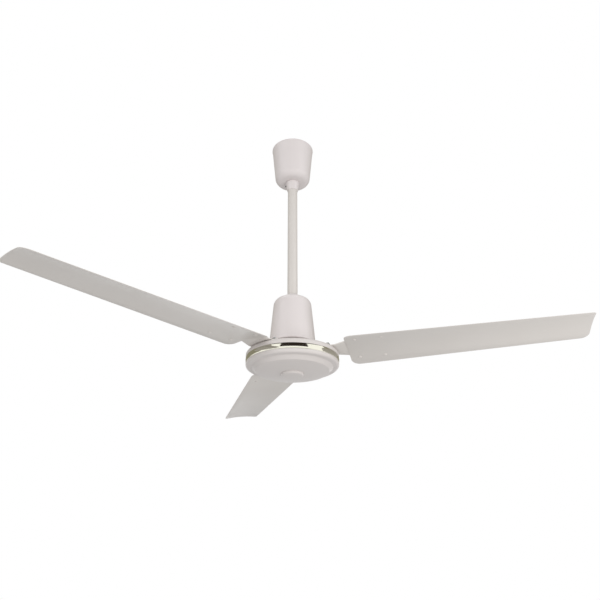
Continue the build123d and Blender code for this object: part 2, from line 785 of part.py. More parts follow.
def outer_ring(bore, outer, width, ball, top):
    """Outer ring of a ball bearing."""
    edge = 2 * (pitch_radius(bore, outer) + race_lip(ball))
    return tube(outer, edge, top, top - width) - race_groove(bore, outer, ball, top - width / 2)


def ball_set(bore, outer, width, ball, top):
    """The balls of a bearing."""
    circle = PolarLocations(pitch_radius(bore, outer), BALL_COUNT)
    return [Pos(0, 0, top - width / 2) * place * Sphere(ball / 2) for place in circle]


def upper_bearing():
    """Sizes of the upper bearing: bore, outer diameter, width, ball and top height."""
    return SHAFT_DIA, 2 * upper_bearing_radius, UPPER_BEARING_WIDTH, UPPER_BALL, upper_bearing_top


def lower_bearing():
    """Sizes of the lower bearing: bore, outer diameter, width, ball and top height."""
    return SHAFT_END_DIA, 2 * lower_bearing_radius, LOWER_BEARING_WIDTH, LOWER_BALL, lower_bearing_top


def stator_hub():
    """Aluminium spider between the shaft and the laminations."""
    bore, rim, web = SHAFT_DIA / 2 + FIT, spider_radius, SPIDER_WEB
    sleeve = bore + SPIDER_SLEEVE_WALL
    middle = (stack_top + stack_foot) / 2
    return turned(
        (bore, stack_top),
        (sleeve, stack_top),
        (sleeve, middle + web / 2),
        (rim - web, middle + web / 2),
        (rim - web, stack_top),
        (rim, stack_top),
        (rim, stack_foot),
        (rim - web, stack_foot),
        (rim - web, middle - web / 2),
        (sleeve, middle - web / 2),
        (sleeve, stack_foot),
        (bore, stack_foot),
    )


def stator_slot():
    """Outline of the slot between two teeth, along +X."""
    half_step = radians(180 / STATOR_TEETH)
    back, shoe, outer = slot_floor, stator_radius - TOOTH_SHOE, 1.1 * stator_radius

    def side(radius):
        return radius * tan(half_step) - TOOTH_WIDTH / 2 / cos(half_step)

    return make_face(
        Polyline(
            (back, -side(back)),
            (shoe, -side(shoe)),
            (shoe + TOOTH_SHOE / 2, -SLOT_MOUTH / 2),
            (outer, -SLOT_MOUTH / 2),
            (outer, SLOT_MOUTH / 2),
            (shoe + TOOTH_SHOE / 2, SLOT_MOUTH / 2),
            (shoe, side(shoe)),
            (back, side(back)),
            close=True,
        )
    )


def stator_core():
    """Laminated core with teeth that face outwards."""
    face = Circle(stator_radius) - Circle(spider_radius + FIT)
    face -= PolarLocations(0, STATOR_TEETH, start_angle=180 / STATOR_TEETH) * stator_slot()
    return Pos(0, 0, stack_foot) * extrude(face, stack_top - stack_foot)


def stator_coils():
    """One coil wound round each tooth."""
    width, height = TOOTH_WIDTH + 2 * COIL_GAP, stack_top - stack_foot + 2 * COIL_GAP
    rise = height + 2 * (COIL_OVERHANG - COIL_GAP)
    section = RectangleRounded(width + 2 * COIL_THICK, rise, COIL_EDGE) - Rectangle(width, height)
    coil = Pos(coil_inner, 0, (stack_top + stack_foot) / 2) * extrude(Plane.YZ * section, COIL_DEPTH)
    return [place * coil for place in PolarLocations(0, STATOR_TEETH)]


def bar_places():
    """Places of the cage's bars round the rotor."""
    return PolarLocations((cage_inner + cage_outer) / 2, CAGE_BARS)


def rotor_core():
    """Laminated ring outside the stator, slotted for the cage's bars."""
    face = Circle(rotor_radius) - Circle(stator_radius + AIR_GAP)
    face -= bar_places() * Rectangle(BAR_DEPTH + 2 * FIT, BAR_WIDTH + 2 * FIT)
    return Pos(0, 0, stack_foot) * extrude(face, stack_top - stack_foot)


def rotor_cage():
    """Cast cage: two end rings joined by bars."""
    end_ring = Circle(cage_outer + CAGE_LIP) - Circle(cage_inner - CAGE_LIP)
    cage = Pos(0, 0, stack_top) * extrude(end_ring, CAGE_RING)
    cage += Pos(0, 0, stack_foot) * extrude(end_ring, -CAGE_RING)
    bars = Sketch() + bar_places() * Rectangle(BAR_DEPTH, BAR_WIDTH)
    return cage + Pos(0, 0, stack_foot) * extrude(bars, stack_top - stack_foot)


def shield_screw_places():
    """Bearing angles of the screws, two for each arm."""
    return [
        blade_angle(index) + side * ARM_SCREW_ANGLE for index in range(BLADES) for side in (1, -1)
    ]


def shield_screw_holes(diameter, top, foot):
    """Cutter for the ring of screw holes in the housing and the arms."""
    holes = [
        Rot(0, 0, angle) * Pos(screw_radius, 0, 0) * round_bar(diameter, top, foot)
        for angle in shield_screw_places()
    ]
    return Part() + holes


def upper_shield():
    """Upper half of the housing: hump over the bearing, ledge for the arms, rounded rim."""
    wall = SHIELD_WALL
    eye = SHAFT_DIA / 2 + SHAFT_EYE_ROOM
    seat = upper_bearing_radius + FIT
    rib = rotor_radius + FIT
    rib_foot = ledge - wall - RING_RIB_HEIGHT
    shield = turned(
        (eye, hump_top),
        (hump_top_radius, hump_top, HUMP_ROUND),
        (hump_foot_radius, ledge),
        (skin, ledge, RIM_ROUND),
        (skin, trim_top),
        (skin - wall, trim_top),
        (skin - wall, ledge - wall, RIM_ROUND - wall),
        (rib + RING_RIB, ledge - wall),
        (rib + RING_RIB, rib_foot),
        (rib, rib_foot),
        (rib, ledge - wall),
        (hump_foot_radius - wall / 2, ledge - wall),
        (hump_top_radius - wall / 2, hump_top - wall),
        (seat + BEARING_WALL, hump_top - wall),
        (seat + BEARING_WALL, upper_bearing_foot),
        (seat, upper_bearing_foot),
        (seat, hump_top - wall),
        (eye, hump_top - wall),
    )
    return shield - shield_screw_holes(ARM_SCREW + 2 * FIT, ledge + wall, ledge - 2 * wall)


def lower_hub():
    """Bore radius and outer radius of the lower shield's hub, round the lower bearing."""
    return lower_bearing_radius + FIT, lower_bearing_radius + FIT + BEARING_WALL


def lower_shield():
    """Lower half of the housing: lip, bevelled disc, bearing hub and seat for the rotor ring."""
    wall = SHIELD_WALL
    seat, hub = lower_hub()
    hub_foot = lower_bearing_foot - CIRCLIP_THICK / 2
    eye = lower_bearing_radius - BEARING_WALL
    ring = rotor_radius + FIT
    shoulder = ring - RING_SHOULDER
    flat = CAP_DIA / 2 + CAP_MARGIN
    shield = turned(
        (skin, trim_foot),
        (skin, lip_foot, LIP_ROUND),
        (disc_radius, lip_foot, DISC_ROUND),
        (disc_edge_radius, disc_edge, DISC_ROUND),
        (flat, disc_centre),
        (hub, disc_centre),
        (hub, hub_foot, HUB_ROUND),
        (seat, hub_foot),
        (seat, lower_bearing_top),
        (eye, lower_bearing_top),
        (eye, lower_bearing_top + wall),
        (hub, lower_bearing_top + wall),
        (hub, disc_centre + wall),
        (flat, disc_centre + wall),
        (disc_edge_radius - wall / 2, disc_edge + wall, DISC_ROUND),
        (shoulder, stack_foot - CAGE_RING),
        (shoulder, stack_foot),
        (ring, stack_foot),
        (ring, trim_foot),
    )
    hole_foot = trim_foot - ARM_SCREW_BITE - SEAT
    return shield - shield_screw_holes(ARM_SCREW + 2 * FIT, trim_foot + wall, hole_foot)


def trim_band():
    """Polished band clamped between the two shields."""
    inner, outer = skin - TRIM_DEPTH, skin - TRIM_BULGE / 2
    bulge = (outer + TRIM_BULGE, (trim_top + trim_foot) / 2)
    section = Polyline((outer, trim_top), (inner, trim_top), (inner, trim_foot), (outer, trim_foot))
    section += ThreePointArc((outer, trim_foot), bulge, (outer, trim_top))
    return revolve(Plane.XZ * make_face(section), Axis.Z)


def bottom_cap():
    """Pressed cap over the lower bearing, with a ring that grips the hub."""
    rim, wall = CAP_DIA / 2, CAP_WALL
    grip = lower_hub()[1] + FIT
    return turned(
        (0, cap_foot),
        (rim, cap_foot, CAP_ROUND),
        (rim, disc_centre),
        (rim - wall, disc_centre),
        (rim - wall, cap_foot + wall, CAP_ROUND - wall),
        (grip + wall, cap_foot + wall),
        (grip + wall, disc_centre - SEAT),
        (grip, disc_centre - SEAT),
        (grip, cap_foot + wall),
        (0, cap_foot + wall),
    )


def blade_angle(index):
    """Bearing of a blade, the first along +X."""
    return index * 360 / BLADES


def blade_frame():
    """Place of the blade's own frame: X out along the crown, Y across it, Z square to the sheet."""
    return Pos(0, 0, blade_crown) * Rot(0, -BLADE_RISE, 0) * Rot(-BLADE_PITCH, 0, 0)


def cambered_sheet(shape, under, over):
    """Curved sheet over a flat shape, between two heights above the blade's middle surface."""
    radius = BLADE_CAMBER_RADIUS
    section = Pos(0, -radius) * (Circle(radius + over) - Circle(radius + under))
    section &= Rectangle(2 * BLADE_ROOT_WIDTH, radius)
    return extrude(Plane.YZ * section, 2 * BLADE_TIP) & extrude(shape, radius / 4, both=True)


def camber_angle(offset_across):
    """Angle round the camber's axis of a point at a distance from the crown."""
    return -degrees(offset_across / BLADE_CAMBER_RADIUS)


def rivet_places():
    """Places of a blade's rivets, square to the curved sheet."""
    return [
        Pos(blade_root + inset, 0, -BLADE_CAMBER_RADIUS)
        * Rot(camber_angle(side * (palm_half - RIVET_EDGE)), 0, 0)
        * Pos(0, 0, BLADE_CAMBER_RADIUS)
        for inset in RIVET_INSETS
        for side in (1, -1)
    ]


def palm_under():
    """Height of the arm's palm above the blade's middle surface."""
    return BLADE_THICK / 2 + SEAT


def palm_over():
    """Height of the palm's upper face above the blade's middle surface."""
    return palm_under() + ARM_THICK


def rivet_holes():
    """Cutter for the rivet holes of one blade and arm."""
    return Part() + [place * Cylinder(RIVET_DIA / 2 + FIT, 4 * RIVET_HEAD) for place in rivet_places()]


def rivet():
    """Rivet with a low domed head on each side of the blade and the palm."""
    shank, head = RIVET_DIA / 2, RIVET_HEAD / 2
    under, over = -BLADE_THICK / 2 - FIT, palm_over() + FIT
    return turned(
        (0, under - RIVET_HEAD_HEIGHT),
        (head * 0.6, under - RIVET_HEAD_HEIGHT),
        (head, under - RIVET_HEAD_HEIGHT / 3),
        (head, under),
        (shank, under),
        (shank, over),
        (head, over),
        (head, over + RIVET_HEAD_HEIGHT / 3),
        (head * 0.6, over + RIVET_HEAD_HEIGHT),
        (0, over + RIVET_HEAD_HEIGHT),
    )


def blade():
    """Blade along +X: a cambered sheet, widest at the root, with rounded corners."""
    root, tip = BLADE_ROOT_WIDTH / 2, BLADE_TIP_WIDTH / 2
    shape = outline(
        (blade_root, -root, ROOT_ROUND),
        (BLADE_TIP, -tip, TIP_ROUND_HIGH),
        (BLADE_TIP, tip, TIP_ROUND_LOW),
        (blade_root, root, ROOT_ROUND),
    )
    return blade_frame() * (cambered_sheet(shape, -BLADE_THICK / 2, BLADE_THICK / 2) - rivet_holes())


def arm_foot():
    """Flat foot of the arm on the housing's ledge: a sector with rounded ears."""
    half = radians(ARM_SCREW_ANGLE + ARM_SCREW_EAR)
    reach = 2 * foot_outer
    sector = outline((0, 0), (reach * cos(half), -reach * sin(half)), (reach * cos(half), reach * sin(half)))
    foot = (Circle(foot_outer) - Circle(hump_foot_radius + ARM_FOOT_GAP)) & sector
    foot = fillet(foot.vertices(), ARM_SCREW)
    foot += Pos(foot_outer, 0) * Rectangle(2 * ARM_SCREW, ARM_NECK_WIDTH)
    return Pos(0, 0, ledge) * extrude(foot, ARM_THICK)


def arm_palm():
    """Curved palm of the arm that lies on the blade."""
    neck, shoulder, end = ARM_NECK_WIDTH / 2, blade_root + ARM_PALM_SHOULDER, blade_root + ARM_PALM_LENGTH
    shape = outline(
        (palm_start, -neck),
        (shoulder, -palm_half, ARM_PALM_ROUND),
        (end, -palm_half, ARM_PALM_ROUND),
        (end, palm_half, ARM_PALM_ROUND),
        (shoulder, palm_half, ARM_PALM_ROUND),
        (palm_start, neck),
    )
    return blade_frame() * (cambered_sheet(shape, palm_under(), palm_over()) - rivet_holes())


def arm_neck():
    """Twisted neck between the flat foot and the curved palm."""
    start = foot_outer + ARM_SCREW
    foot_end = Pos(start, 0, ledge + ARM_THICK / 2) * (Plane.YZ * Rectangle(ARM_NECK_WIDTH, ARM_THICK))
    half, radius = ARM_NECK_WIDTH / 2, BLADE_CAMBER_RADIUS
    low, high = radius + palm_under(), radius + palm_over()

    def rim_point(distance, reach):
        return reach, (distance**2 - reach**2) ** 0.5 - radius

    palm_end = make_face(
        Line(rim_point(low, half), rim_point(high, half))
        + ThreePointArc(rim_point(high, half), rim_point(high, 0), rim_point(high, -half))
        + Line(rim_point(high, -half), rim_point(low, -half))
        + ThreePointArc(rim_point(low, -half), rim_point(low, 0), rim_point(low, half))
    )
    palm_end = blade_frame() * Pos(palm_start, 0, 0) * (Plane.YZ * palm_end)
    return loft([foot_end.face(), palm_end.face()], ruled=True)


def blade_arm():
    """Pressed arm along +X: foot, neck and palm."""
    arm = arm_foot() + arm_neck() + arm_palm()
    for side in (1, -1):
        place = Rot(0, 0, side * ARM_SCREW_ANGLE) * Pos(screw_radius, 0, 0)
        arm -= place * round_bar(ARM_SCREW + 2 * FIT, ledge + 2 * ARM_THICK, ledge - ARM_THICK)
    return arm


def arm_screws():
    """Long screws through the arms' feet that also clamp the housing together."""
    head_seat = ledge + ARM_THICK
    foot = trim_foot - ARM_SCREW_BITE
    screw = round_bar(ARM_SCREW, head_seat, foot) + turned(
        (0, head_seat),
        (ARM_SCREW_HEAD / 2, head_seat),
        (ARM_SCREW_HEAD / 2, head_seat + ARM_SCREW_HEAD_HEIGHT / 2),
        (ARM_SCREW_HEAD / 4, head_seat + ARM_SCREW_HEAD_HEIGHT),
        (0, head_seat + ARM_SCREW_HEAD_HEIGHT),
    )
    return [Rot(0, 0, angle) * Pos(screw_radius, 0, 0) * screw for angle in shield_screw_places()]


def blade_rivets():
    """The rivets of all blades."""
    return [
        Rot(0, 0, blade_angle(index)) * blade_frame() * place * rivet()
        for index in range(BLADES)
        for place in rivet_places()
    ]


def pieces():
    """Every node's name with its solid or list of solids."""
    nodes = {
        "ceiling_plate": ceiling_plate(),
        "hanging_hook": hanging_hook(),
        "hook_lock_nut": hook_lock_nut(),
        "rubber_roller": rubber_roller(),
        "roller_bush": roller_bush(),
        "rod_shackle": rod_shackle(),
        "shackle_bolt": shackle_bolt(),
        "shackle_nut": shackle_nut(),
        "split_pins": split_pins(),
        "downrod": downrod(),
        "rod_bolts": rod_bolts(),
        "rod_bolt_nuts": rod_bolt_nuts(),
        "terminal_block": terminal_block(),
        "terminal_screw": terminal_screw(),
        "canopy": canopy(),
        "canopy_collar": canopy_collar(),
        "canopy_set_screw": canopy_set_screw(),
        "motor_cover": motor_cover(),
        "cover_grommet": cover_grommet(),
        "motor_yoke": motor_yoke(),
        "grub_screws": grub_screws(),
        "capacitor": capacitor(),
        "capacitor_band": capacitor_band(),
        "motor_shaft": motor_shaft(),
        "shaft_circlips": shaft_circlips(),
        "stator_hub": stator_hub(),
        "stator_core": stator_core(),
        "stator_coils": stator_coils(),
        "upper_bearing_inner": inner_ring(*upper_bearing()),
        "upper_bearing_outer": outer_ring(*upper_bearing()),
        "upper_bearing_balls": ball_set(*upper_bearing()),
        "lower_bearing_inner": inner_ring(*lower_bearing()),
        "lower_bearing_outer": outer_ring(*lower_bearing()),
        "lower_bearing_balls": ball_set(*lower_bearing()),
        "rotor_core": rotor_core(),
        "rotor_cage": rotor_cage(),
        "upper_shield": upper_shield(),
        "lower_shield": lower_shield(),
        "trim_band": trim_band(),
        "bottom_cap": bottom_cap(),
        "arm_screws": arm_screws(),
        "blade_rivets": blade_rivets(),
    }
    arm, one_blade = blade_arm(), blade()
    for index in range(BLADES):
        turn = Rot(0, 0, blade_angle(index))
        nodes[f"blade_arm_{index + 1}"] = turn * arm
        nodes[f"blade_{index + 1}"] = turn * one_blade
    return nodes


def write_parts():
    """Write one STEP file for each node."""
    os.makedirs("parts", exist_ok=True)
    for name, shape in pieces().items():
        solids = shape if isinstance(shape, list) else [shape]
        solids = [solid for piece in solids for solid in piece.solids()]
        export_step(Compound(children=solids) if len(solids) > 1 else solids[0], f"parts/{name}.step")


write_parts()
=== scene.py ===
"""Looks of a white three-blade ceiling fan on a downrod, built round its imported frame.

Metres, +Z up. The ceiling is at height 0, the downrod hangs on the Z axis and the first blade points
along +X. The sub-assemblies hold their sizes in millimetres, the studio holds its own in metres.
"""

import json
import logging
from collections.abc import Callable, Sequence
from dataclasses import dataclass
from enum import Enum
from itertools import pairwise
from math import asin, cos, degrees, pi, radians, sin, sqrt, tan, tau
from typing import NamedTuple

import bmesh
import bpy
from mathutils import Matrix, Vector

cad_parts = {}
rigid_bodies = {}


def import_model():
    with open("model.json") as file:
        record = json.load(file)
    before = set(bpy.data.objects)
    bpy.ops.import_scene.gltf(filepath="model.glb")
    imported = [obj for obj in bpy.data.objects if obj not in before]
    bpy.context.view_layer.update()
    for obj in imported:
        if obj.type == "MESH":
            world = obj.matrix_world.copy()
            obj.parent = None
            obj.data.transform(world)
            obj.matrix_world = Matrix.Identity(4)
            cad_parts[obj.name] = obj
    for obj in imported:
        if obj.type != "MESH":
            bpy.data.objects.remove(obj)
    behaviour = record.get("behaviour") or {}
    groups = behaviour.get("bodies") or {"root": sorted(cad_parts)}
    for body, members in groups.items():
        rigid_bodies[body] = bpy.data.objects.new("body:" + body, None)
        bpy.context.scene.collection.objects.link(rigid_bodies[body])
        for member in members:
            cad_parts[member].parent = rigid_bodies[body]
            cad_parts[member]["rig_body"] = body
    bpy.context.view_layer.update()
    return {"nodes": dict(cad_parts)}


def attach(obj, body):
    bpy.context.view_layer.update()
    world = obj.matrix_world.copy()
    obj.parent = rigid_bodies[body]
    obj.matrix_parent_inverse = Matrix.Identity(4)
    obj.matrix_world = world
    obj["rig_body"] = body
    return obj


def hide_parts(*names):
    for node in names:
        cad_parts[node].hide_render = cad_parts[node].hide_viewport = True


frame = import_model()
log = logging.getLogger("ceiling_fan")

MM = 0.001
CREASE = 32.0  # degrees from which a modelled edge stays sharp
CLEAR = 0.05  # gap between a piece and what it fits over or into, in millimetres
MERGE = 0.002  # distance in millimetres under which two points become one
THREAD_DEPTH = 0.45  # depth of a thread in pitches
Colour = tuple[int, int, int]
Point = tuple[float, float, float]
Outline = Sequence[tuple[float, ...]]
Socket = bpy.types.NodeSocket
Piece = bpy.types.Object


class Slot(Enum):
    """Material slots of the record."""

    ENAMEL = "white_enamel"
    CASTING = "white_casting"
    PLASTIC = "white_plastic"
    RUBBER = "white_rubber"
    ZINC = "zinc_steel"
    DARK_STEEL = "dark_steel"
    GROUND_STEEL = "ground_steel"
    BALL_STEEL = "ball_steel"
    BUSH_STEEL = "bush_steel"
    BLACK_RUBBER = "black_rubber"
    NYLON = "terminal_nylon"
    CAPACITOR = "capacitor_plastic"
    LAMINATION = "lamination_steel"
    ALUMINIUM = "cast_aluminium"
    COPPER = "copper_wire"
    TRIM = "bright_trim"
    RIVET = "bright_rivet"


def linear(colour: Colour) -> tuple[float, float, float, float]:
    """Linear RGBA, as a shader socket takes it, of an sRGB colour from 0 to 255."""
    shares = [part / 255 for part in colour]
    return (*(x / 12.92 if x <= 0.04045 else ((x + 0.055) / 1.055) ** 2.4 for x in shares), 1.0)


def emptied(owner: bpy.types.Material | bpy.types.World) -> bpy.types.NodeTree:
    """Empty the node tree of a new material or world.

    Args:
        owner: the material or world.

    Returns:
        Its tree, ready to be wired.
    """
    owner.use_nodes = True
    owner.node_tree.nodes.clear()
    return owner.node_tree


class Shader:
    """A node tree that is being wired, for a material, a world or a node group."""

    def __init__(self, tree: bpy.types.NodeTree) -> None:
        """Keep the tree that nodes are added to."""
        self.tree = tree

    def feed(self, entry: Socket, value: object) -> None:
        """Set an input to a value, or link it to an output socket.

        Args:
            entry: the input socket.
            value: a plain value or an output socket.
        """
        if isinstance(value, Socket):
            self.tree.links.new(value, entry)
        else:
            entry.default_value = value

    def node(self, kind: str, inputs: dict | None = None, **settings: object) -> bpy.types.Node:
        """Add a node.

        Args:
            kind: the node's Blender type.
            inputs: values or output sockets by input name or index.
            settings: properties of the node.

        Returns:
            The new node.
        """
        made = self.tree.nodes.new(kind)
        for name, value in settings.items():
            setattr(made, name, value)
        for name, value in (inputs or {}).items():
            self.feed(made.inputs[name], value)
        return made

    def math(self, operation: str, first: Socket | float, second: Socket | float = 0.0) -> Socket:
        """Combine two numbers by an operation of the Math node."""
        return self.node("ShaderNodeMath", {0: first, 1: second}, operation=operation).outputs[0]

    def spread(self, value: Socket, low: float, high: float) -> Socket:
        """Map a value from 0 to 1 onto the range from low to high."""
        return self.node("ShaderNodeMapRange", {"Value": value, "To Min": low, "To Max": high}).outputs[0]

    def blend(self, share: Socket | float, first: object, second: object) -> Socket:
        """Mix two colours; the share says how much of the second one shows."""
        return self.node("ShaderNodeMix", {0: share, 6: first, 7: second}, data_type="RGBA").outputs[2]

    def noise(self, place: Socket, scale: Socket | float, detail: float = 2.0) -> Socket:
        """Noise over a place, with so many features in a metre and so many octaves."""
        return self.node("ShaderNodeTexNoise", {"Vector": place, "Scale": scale, "Detail": detail}).outputs[0]

    def normal(self) -> Socket:
        """The surface's true normal."""
        return self.node("ShaderNodeNewGeometry").outputs["Normal"]

    def upright(self) -> Socket:
        """The upward part of the surface's normal."""
        return self.node("ShaderNodeSeparateXYZ", {0: self.normal()}).outputs["Z"]


class Effect:
    """A surface effect that several finishes share, held as a node group."""

    name: str  # the group's name
    values: dict[str, float]  # its number inputs with their defaults
    outputs: tuple[str, ...]  # the numbers that it puts out

    def __init__(self) -> None:
        """Start the group with its sockets and wire it."""
        self.group = bpy.data.node_groups.new(self.name, "ShaderNodeTree")
        sockets = self.group.interface
        sockets.new_socket("Vector", in_out="INPUT", socket_type="NodeSocketVector")
        for label, value in self.values.items():
            sockets.new_socket(label, in_out="INPUT", socket_type="NodeSocketFloat").default_value = value
        for label in self.outputs:
            sockets.new_socket(label, in_out="OUTPUT", socket_type="NodeSocketFloat")
        self.wire = Shader(self.group)
        self.given = self.wire.node("NodeGroupInput").outputs
        self.result = self.wire.node("NodeGroupOutput").inputs
        self.build()

    def build(self) -> None:
        """Wire the effect; each effect says how."""

    def put(self, label: str, value: Socket) -> None:
        """Send a socket to one of the group's outputs."""
        self.wire.feed(self.result[label], value)


class OrangePeel(Effect):
    """Low ripple and faint tone change of a sprayed or moulded skin."""

    name = "orange_peel"
    values = {"Ripple": 900.0, "Patch": 9.0}
    outputs = ("Height", "Tone")

    def build(self) -> None:
        """Fine ripple for the height and wide patches for the tone."""
        self.put("Height", self.wire.noise(self.given["Vector"], self.given["Ripple"], 1.0))
        self.put("Tone", self.wire.noise(self.given["Vector"], self.given["Patch"], 3.0))


class SettledDust(Effect):
    """Thin dust where a surface faces up."""

    name = "settled_dust"
    values = {"Amount": 0.15, "Patch": 24.0}
    outputs = ("Mask",)

    def build(self) -> None:
        """Upward share of the normal, broken up by noise."""
        inputs = {"Value": self.wire.upright(), "From Min": 0.3}
        facing = self.wire.node("ShaderNodeMapRange", inputs).outputs[0]
        broken = self.wire.noise(self.given["Vector"], self.given["Patch"], 5.0)
        amount = self.wire.math("MULTIPLY", self.given["Amount"], broken)
        self.put("Mask", self.wire.math("MULTIPLY", facing, amount))


class EdgeWear(Effect):
    """Mask of a piece's edges, where handling and spray thin the finish."""

    name = "edge_wear"
    values = {"Width": 0.0006, "Patch": 120.0}
    outputs = ("Mask",)

    def build(self) -> None:
        """Where a rounded normal leaves the true one, broken up by noise."""
        rounded = self.wire.node("ShaderNodeBevel", {"Radius": self.given["Width"]}, samples=4).outputs[0]
        normals = {0: rounded, 1: self.wire.normal()}
        match = self.wire.node("ShaderNodeVectorMath", normals, operation="DOT_PRODUCT").outputs["Value"]
        inputs = {"Value": match, "From Min": 0.995, "From Max": 0.85}
        edge = self.wire.node("ShaderNodeMapRange", inputs).outputs[0]
        broken = self.wire.noise(self.given["Vector"], self.given["Patch"], 4.0)
        self.put("Mask", self.wire.math("MULTIPLY", edge, self.wire.spread(broken, 0.2, 1.2)))


class ToolMarks(Effect):
    """Fine lines left round the axis by a lathe."""

    name = "tool_marks"
    values = {"Pitch": 2600.0}
    outputs = ("Height", "Tone")

    def build(self) -> None:
        """Noise read by height and distance from the axis only."""
        parts = self.wire.node("ShaderNodeSeparateXYZ", {0: self.given["Vector"]}).outputs
        squares = [self.wire.math("POWER", parts[axis], 2.0) for axis in ("X", "Y")]
        reach = self.wire.math("SQRT", self.wire.math("ADD", *squares))
        ring = self.wire.node("ShaderNodeCombineXYZ", {"X": reach, "Z": parts["Z"]}).outputs[0]
        self.put("Height", self.wire.noise(ring, self.given["Pitch"]))
        self.put("Tone", self.wire.noise(ring, self.wire.math("MULTIPLY", self.given["Pitch"], 0.1)))


class Surface(Shader):
    """A material that is being wired, with one Principled node."""

    def __init__(self, name: str, effects: dict[type[Effect], Effect]) -> None:
        """Start the material.

        Args:
            name: its name.
            effects: the shared effects.
        """
        self.material = bpy.data.materials.new(name)
        super().__init__(emptied(self.material))
        self.effects = effects
        coat = self.node("ShaderNodeBsdfPrincipled")
        self.node("ShaderNodeOutputMaterial", {"Surface": coat.outputs[0]})
        self.coat = coat.inputs
        self.place = self.node("ShaderNodeTexCoord").outputs["Object"]

    def show(self, label: str, value: object) -> None:
        """Set or link an input of the Principled node."""
        self.feed(self.coat[label], value)

    def use(self, kind: type[Effect], **values: float) -> bpy.types.NodeOutputs:
        """Put a shared effect into the material, with some inputs of its own, and give its outputs."""
        inputs = {"Vector": self.place, **values}
        return self.node("ShaderNodeGroup", inputs, node_tree=self.effects[kind].group).outputs

    def bump(self, height: Socket, depth: float) -> None:
        """Raise the surface by a height map that is so many metres deep."""
        raised = self.node("ShaderNodeBump", {"Height": height, "Distance": depth, "Strength": 1.0})
        self.show("Normal", raised.outputs[0])


@dataclass(frozen=True)
class Finish:
    """A finish with one base colour; its kind adds the pattern."""

    name: str  # the material's name
    colour: Colour  # sRGB base colour
    roughness: float  # how matt the surface is

    def material(self, effects: dict[type[Effect], Effect]) -> bpy.types.Material:
        """Build the material.

        Args:
            effects: the shared effects.

        Returns:
            The new material.
        """
        skin = Surface(self.name, effects)
        skin.show("Base Color", linear(self.colour))
        skin.show("Roughness", self.roughness)
        self.pattern(skin)
        return skin.material

    def pattern(self, skin: Surface) -> None:
        """Wire what this finish varies over the surface; each kind says how."""


@dataclass(frozen=True)
class Paint(Finish):
    """Sprayed enamel or moulded plastic."""

    shade: Colour  # sRGB colour of the slightly darker patches
    worn: Colour  # sRGB colour of the thin finish on edges
    ripple: float  # bumps in a metre
    depth: float  # metres of ripple
    dust: float = 0.12  # share of dust on upward faces
    dust_colour: Colour = (150, 142, 130)  # sRGB colour of the dust
    sheen: float = 0.05  # how far the patches change the roughness

    def pattern(self, skin: Surface) -> None:
        """Patches, edges, dust, ripple and a change of gloss.

        Args:
            skin: the material.
        """
        peel, wear = skin.use(OrangePeel, Ripple=self.ripple), skin.use(EdgeWear)
        dust = skin.use(SettledDust, Amount=self.dust)["Mask"]
        colour = skin.blend(skin.spread(peel["Tone"], 0.0, 0.6), linear(self.colour), linear(self.shade))
        colour = skin.blend(skin.math("MULTIPLY", wear["Mask"], 0.5), colour, linear(self.worn))
        skin.show("Base Color", skin.blend(dust, colour, linear(self.dust_colour)))
        gloss = skin.spread(peel["Tone"], self.roughness - self.sheen, self.roughness + self.sheen)
        skin.show("Roughness", skin.math("ADD", gloss, dust))
        skin.bump(peel["Height"], self.depth)


@dataclass(frozen=True)
class Plate(Finish):
    """Plated, ground or cast metal."""

    shade: Colour  # sRGB colour of the darker grains
    grain: float  # grains in a metre
    lathe: bool = False  # whether fine turning lines cover it
    depth: float = 2e-5  # metres of relief
    bare: Colour = (235, 235, 232)  # sRGB colour of its worn edges

    def pattern(self, skin: Surface) -> None:
        """Grains or turning lines, bright edges and a change of gloss.

        Args:
            skin: the material.
        """
        skin.show("Metallic", 1.0)
        wear = skin.use(EdgeWear, Width=0.0004)
        if self.lathe:
            marks = skin.use(ToolMarks, Pitch=self.grain)
            tone, height = marks["Tone"], marks["Height"]
        else:
            cells = skin.node("ShaderNodeTexVoronoi", {"Vector": skin.place, "Scale": self.grain})
            tone = skin.node("ShaderNodeSeparateColor", {0: cells.outputs["Color"]}).outputs[0]
            height = skin.noise(skin.place, self.grain * 4, 3.0)
        colour = skin.blend(skin.spread(tone, 0.0, 0.7), linear(self.colour), linear(self.shade))
        edge = skin.math("MULTIPLY", wear["Mask"], 0.4)
        skin.show("Base Color", skin.blend(edge, colour, linear(self.bare)))
        skin.show("Roughness", skin.spread(tone, self.roughness - 0.06, self.roughness + 0.08))
        skin.bump(height, self.depth)


@dataclass(frozen=True)
class Stack(Finish):
    """Laminations: thin bare sheets side by side."""

    gap: Colour  # sRGB colour between the sheets
    layers: float  # sheets in a metre
    depth: float = 0.00012  # metres between a sheet's edge and the gap

    def pattern(self, skin: Surface) -> None:
        """Bands along the height with dark gaps, and plain sheet where the stack ends.

        Args:
            skin: the material.
        """
        skin.show("Metallic", 1.0)
        inputs = {"Vector": skin.place, "Scale": self.layers / tau, "Distortion": 0.4, "Detail": 1.0}
        bands = skin.node("ShaderNodeTexWave", inputs, bands_direction="Z").outputs["Fac"]
        flat = skin.math("ABSOLUTE", skin.upright())
        side = skin.math("SUBTRACT", 1.0, flat)
        sheet = skin.spread(skin.noise(skin.place, self.layers * 0.15, 4.0), 0.55, 0.9)
        tone = skin.math("MULTIPLY", side, skin.math("POWER", bands, 0.5))
        tone = skin.math("ADD", skin.math("MULTIPLY", flat, sheet), tone)
        skin.show("Base Color", skin.blend(tone, linear(self.gap), linear(self.colour)))
        skin.show("Roughness", skin.spread(tone, self.roughness + 0.15, self.roughness))
        skin.bump(skin.math("MULTIPLY", bands, side), self.depth)


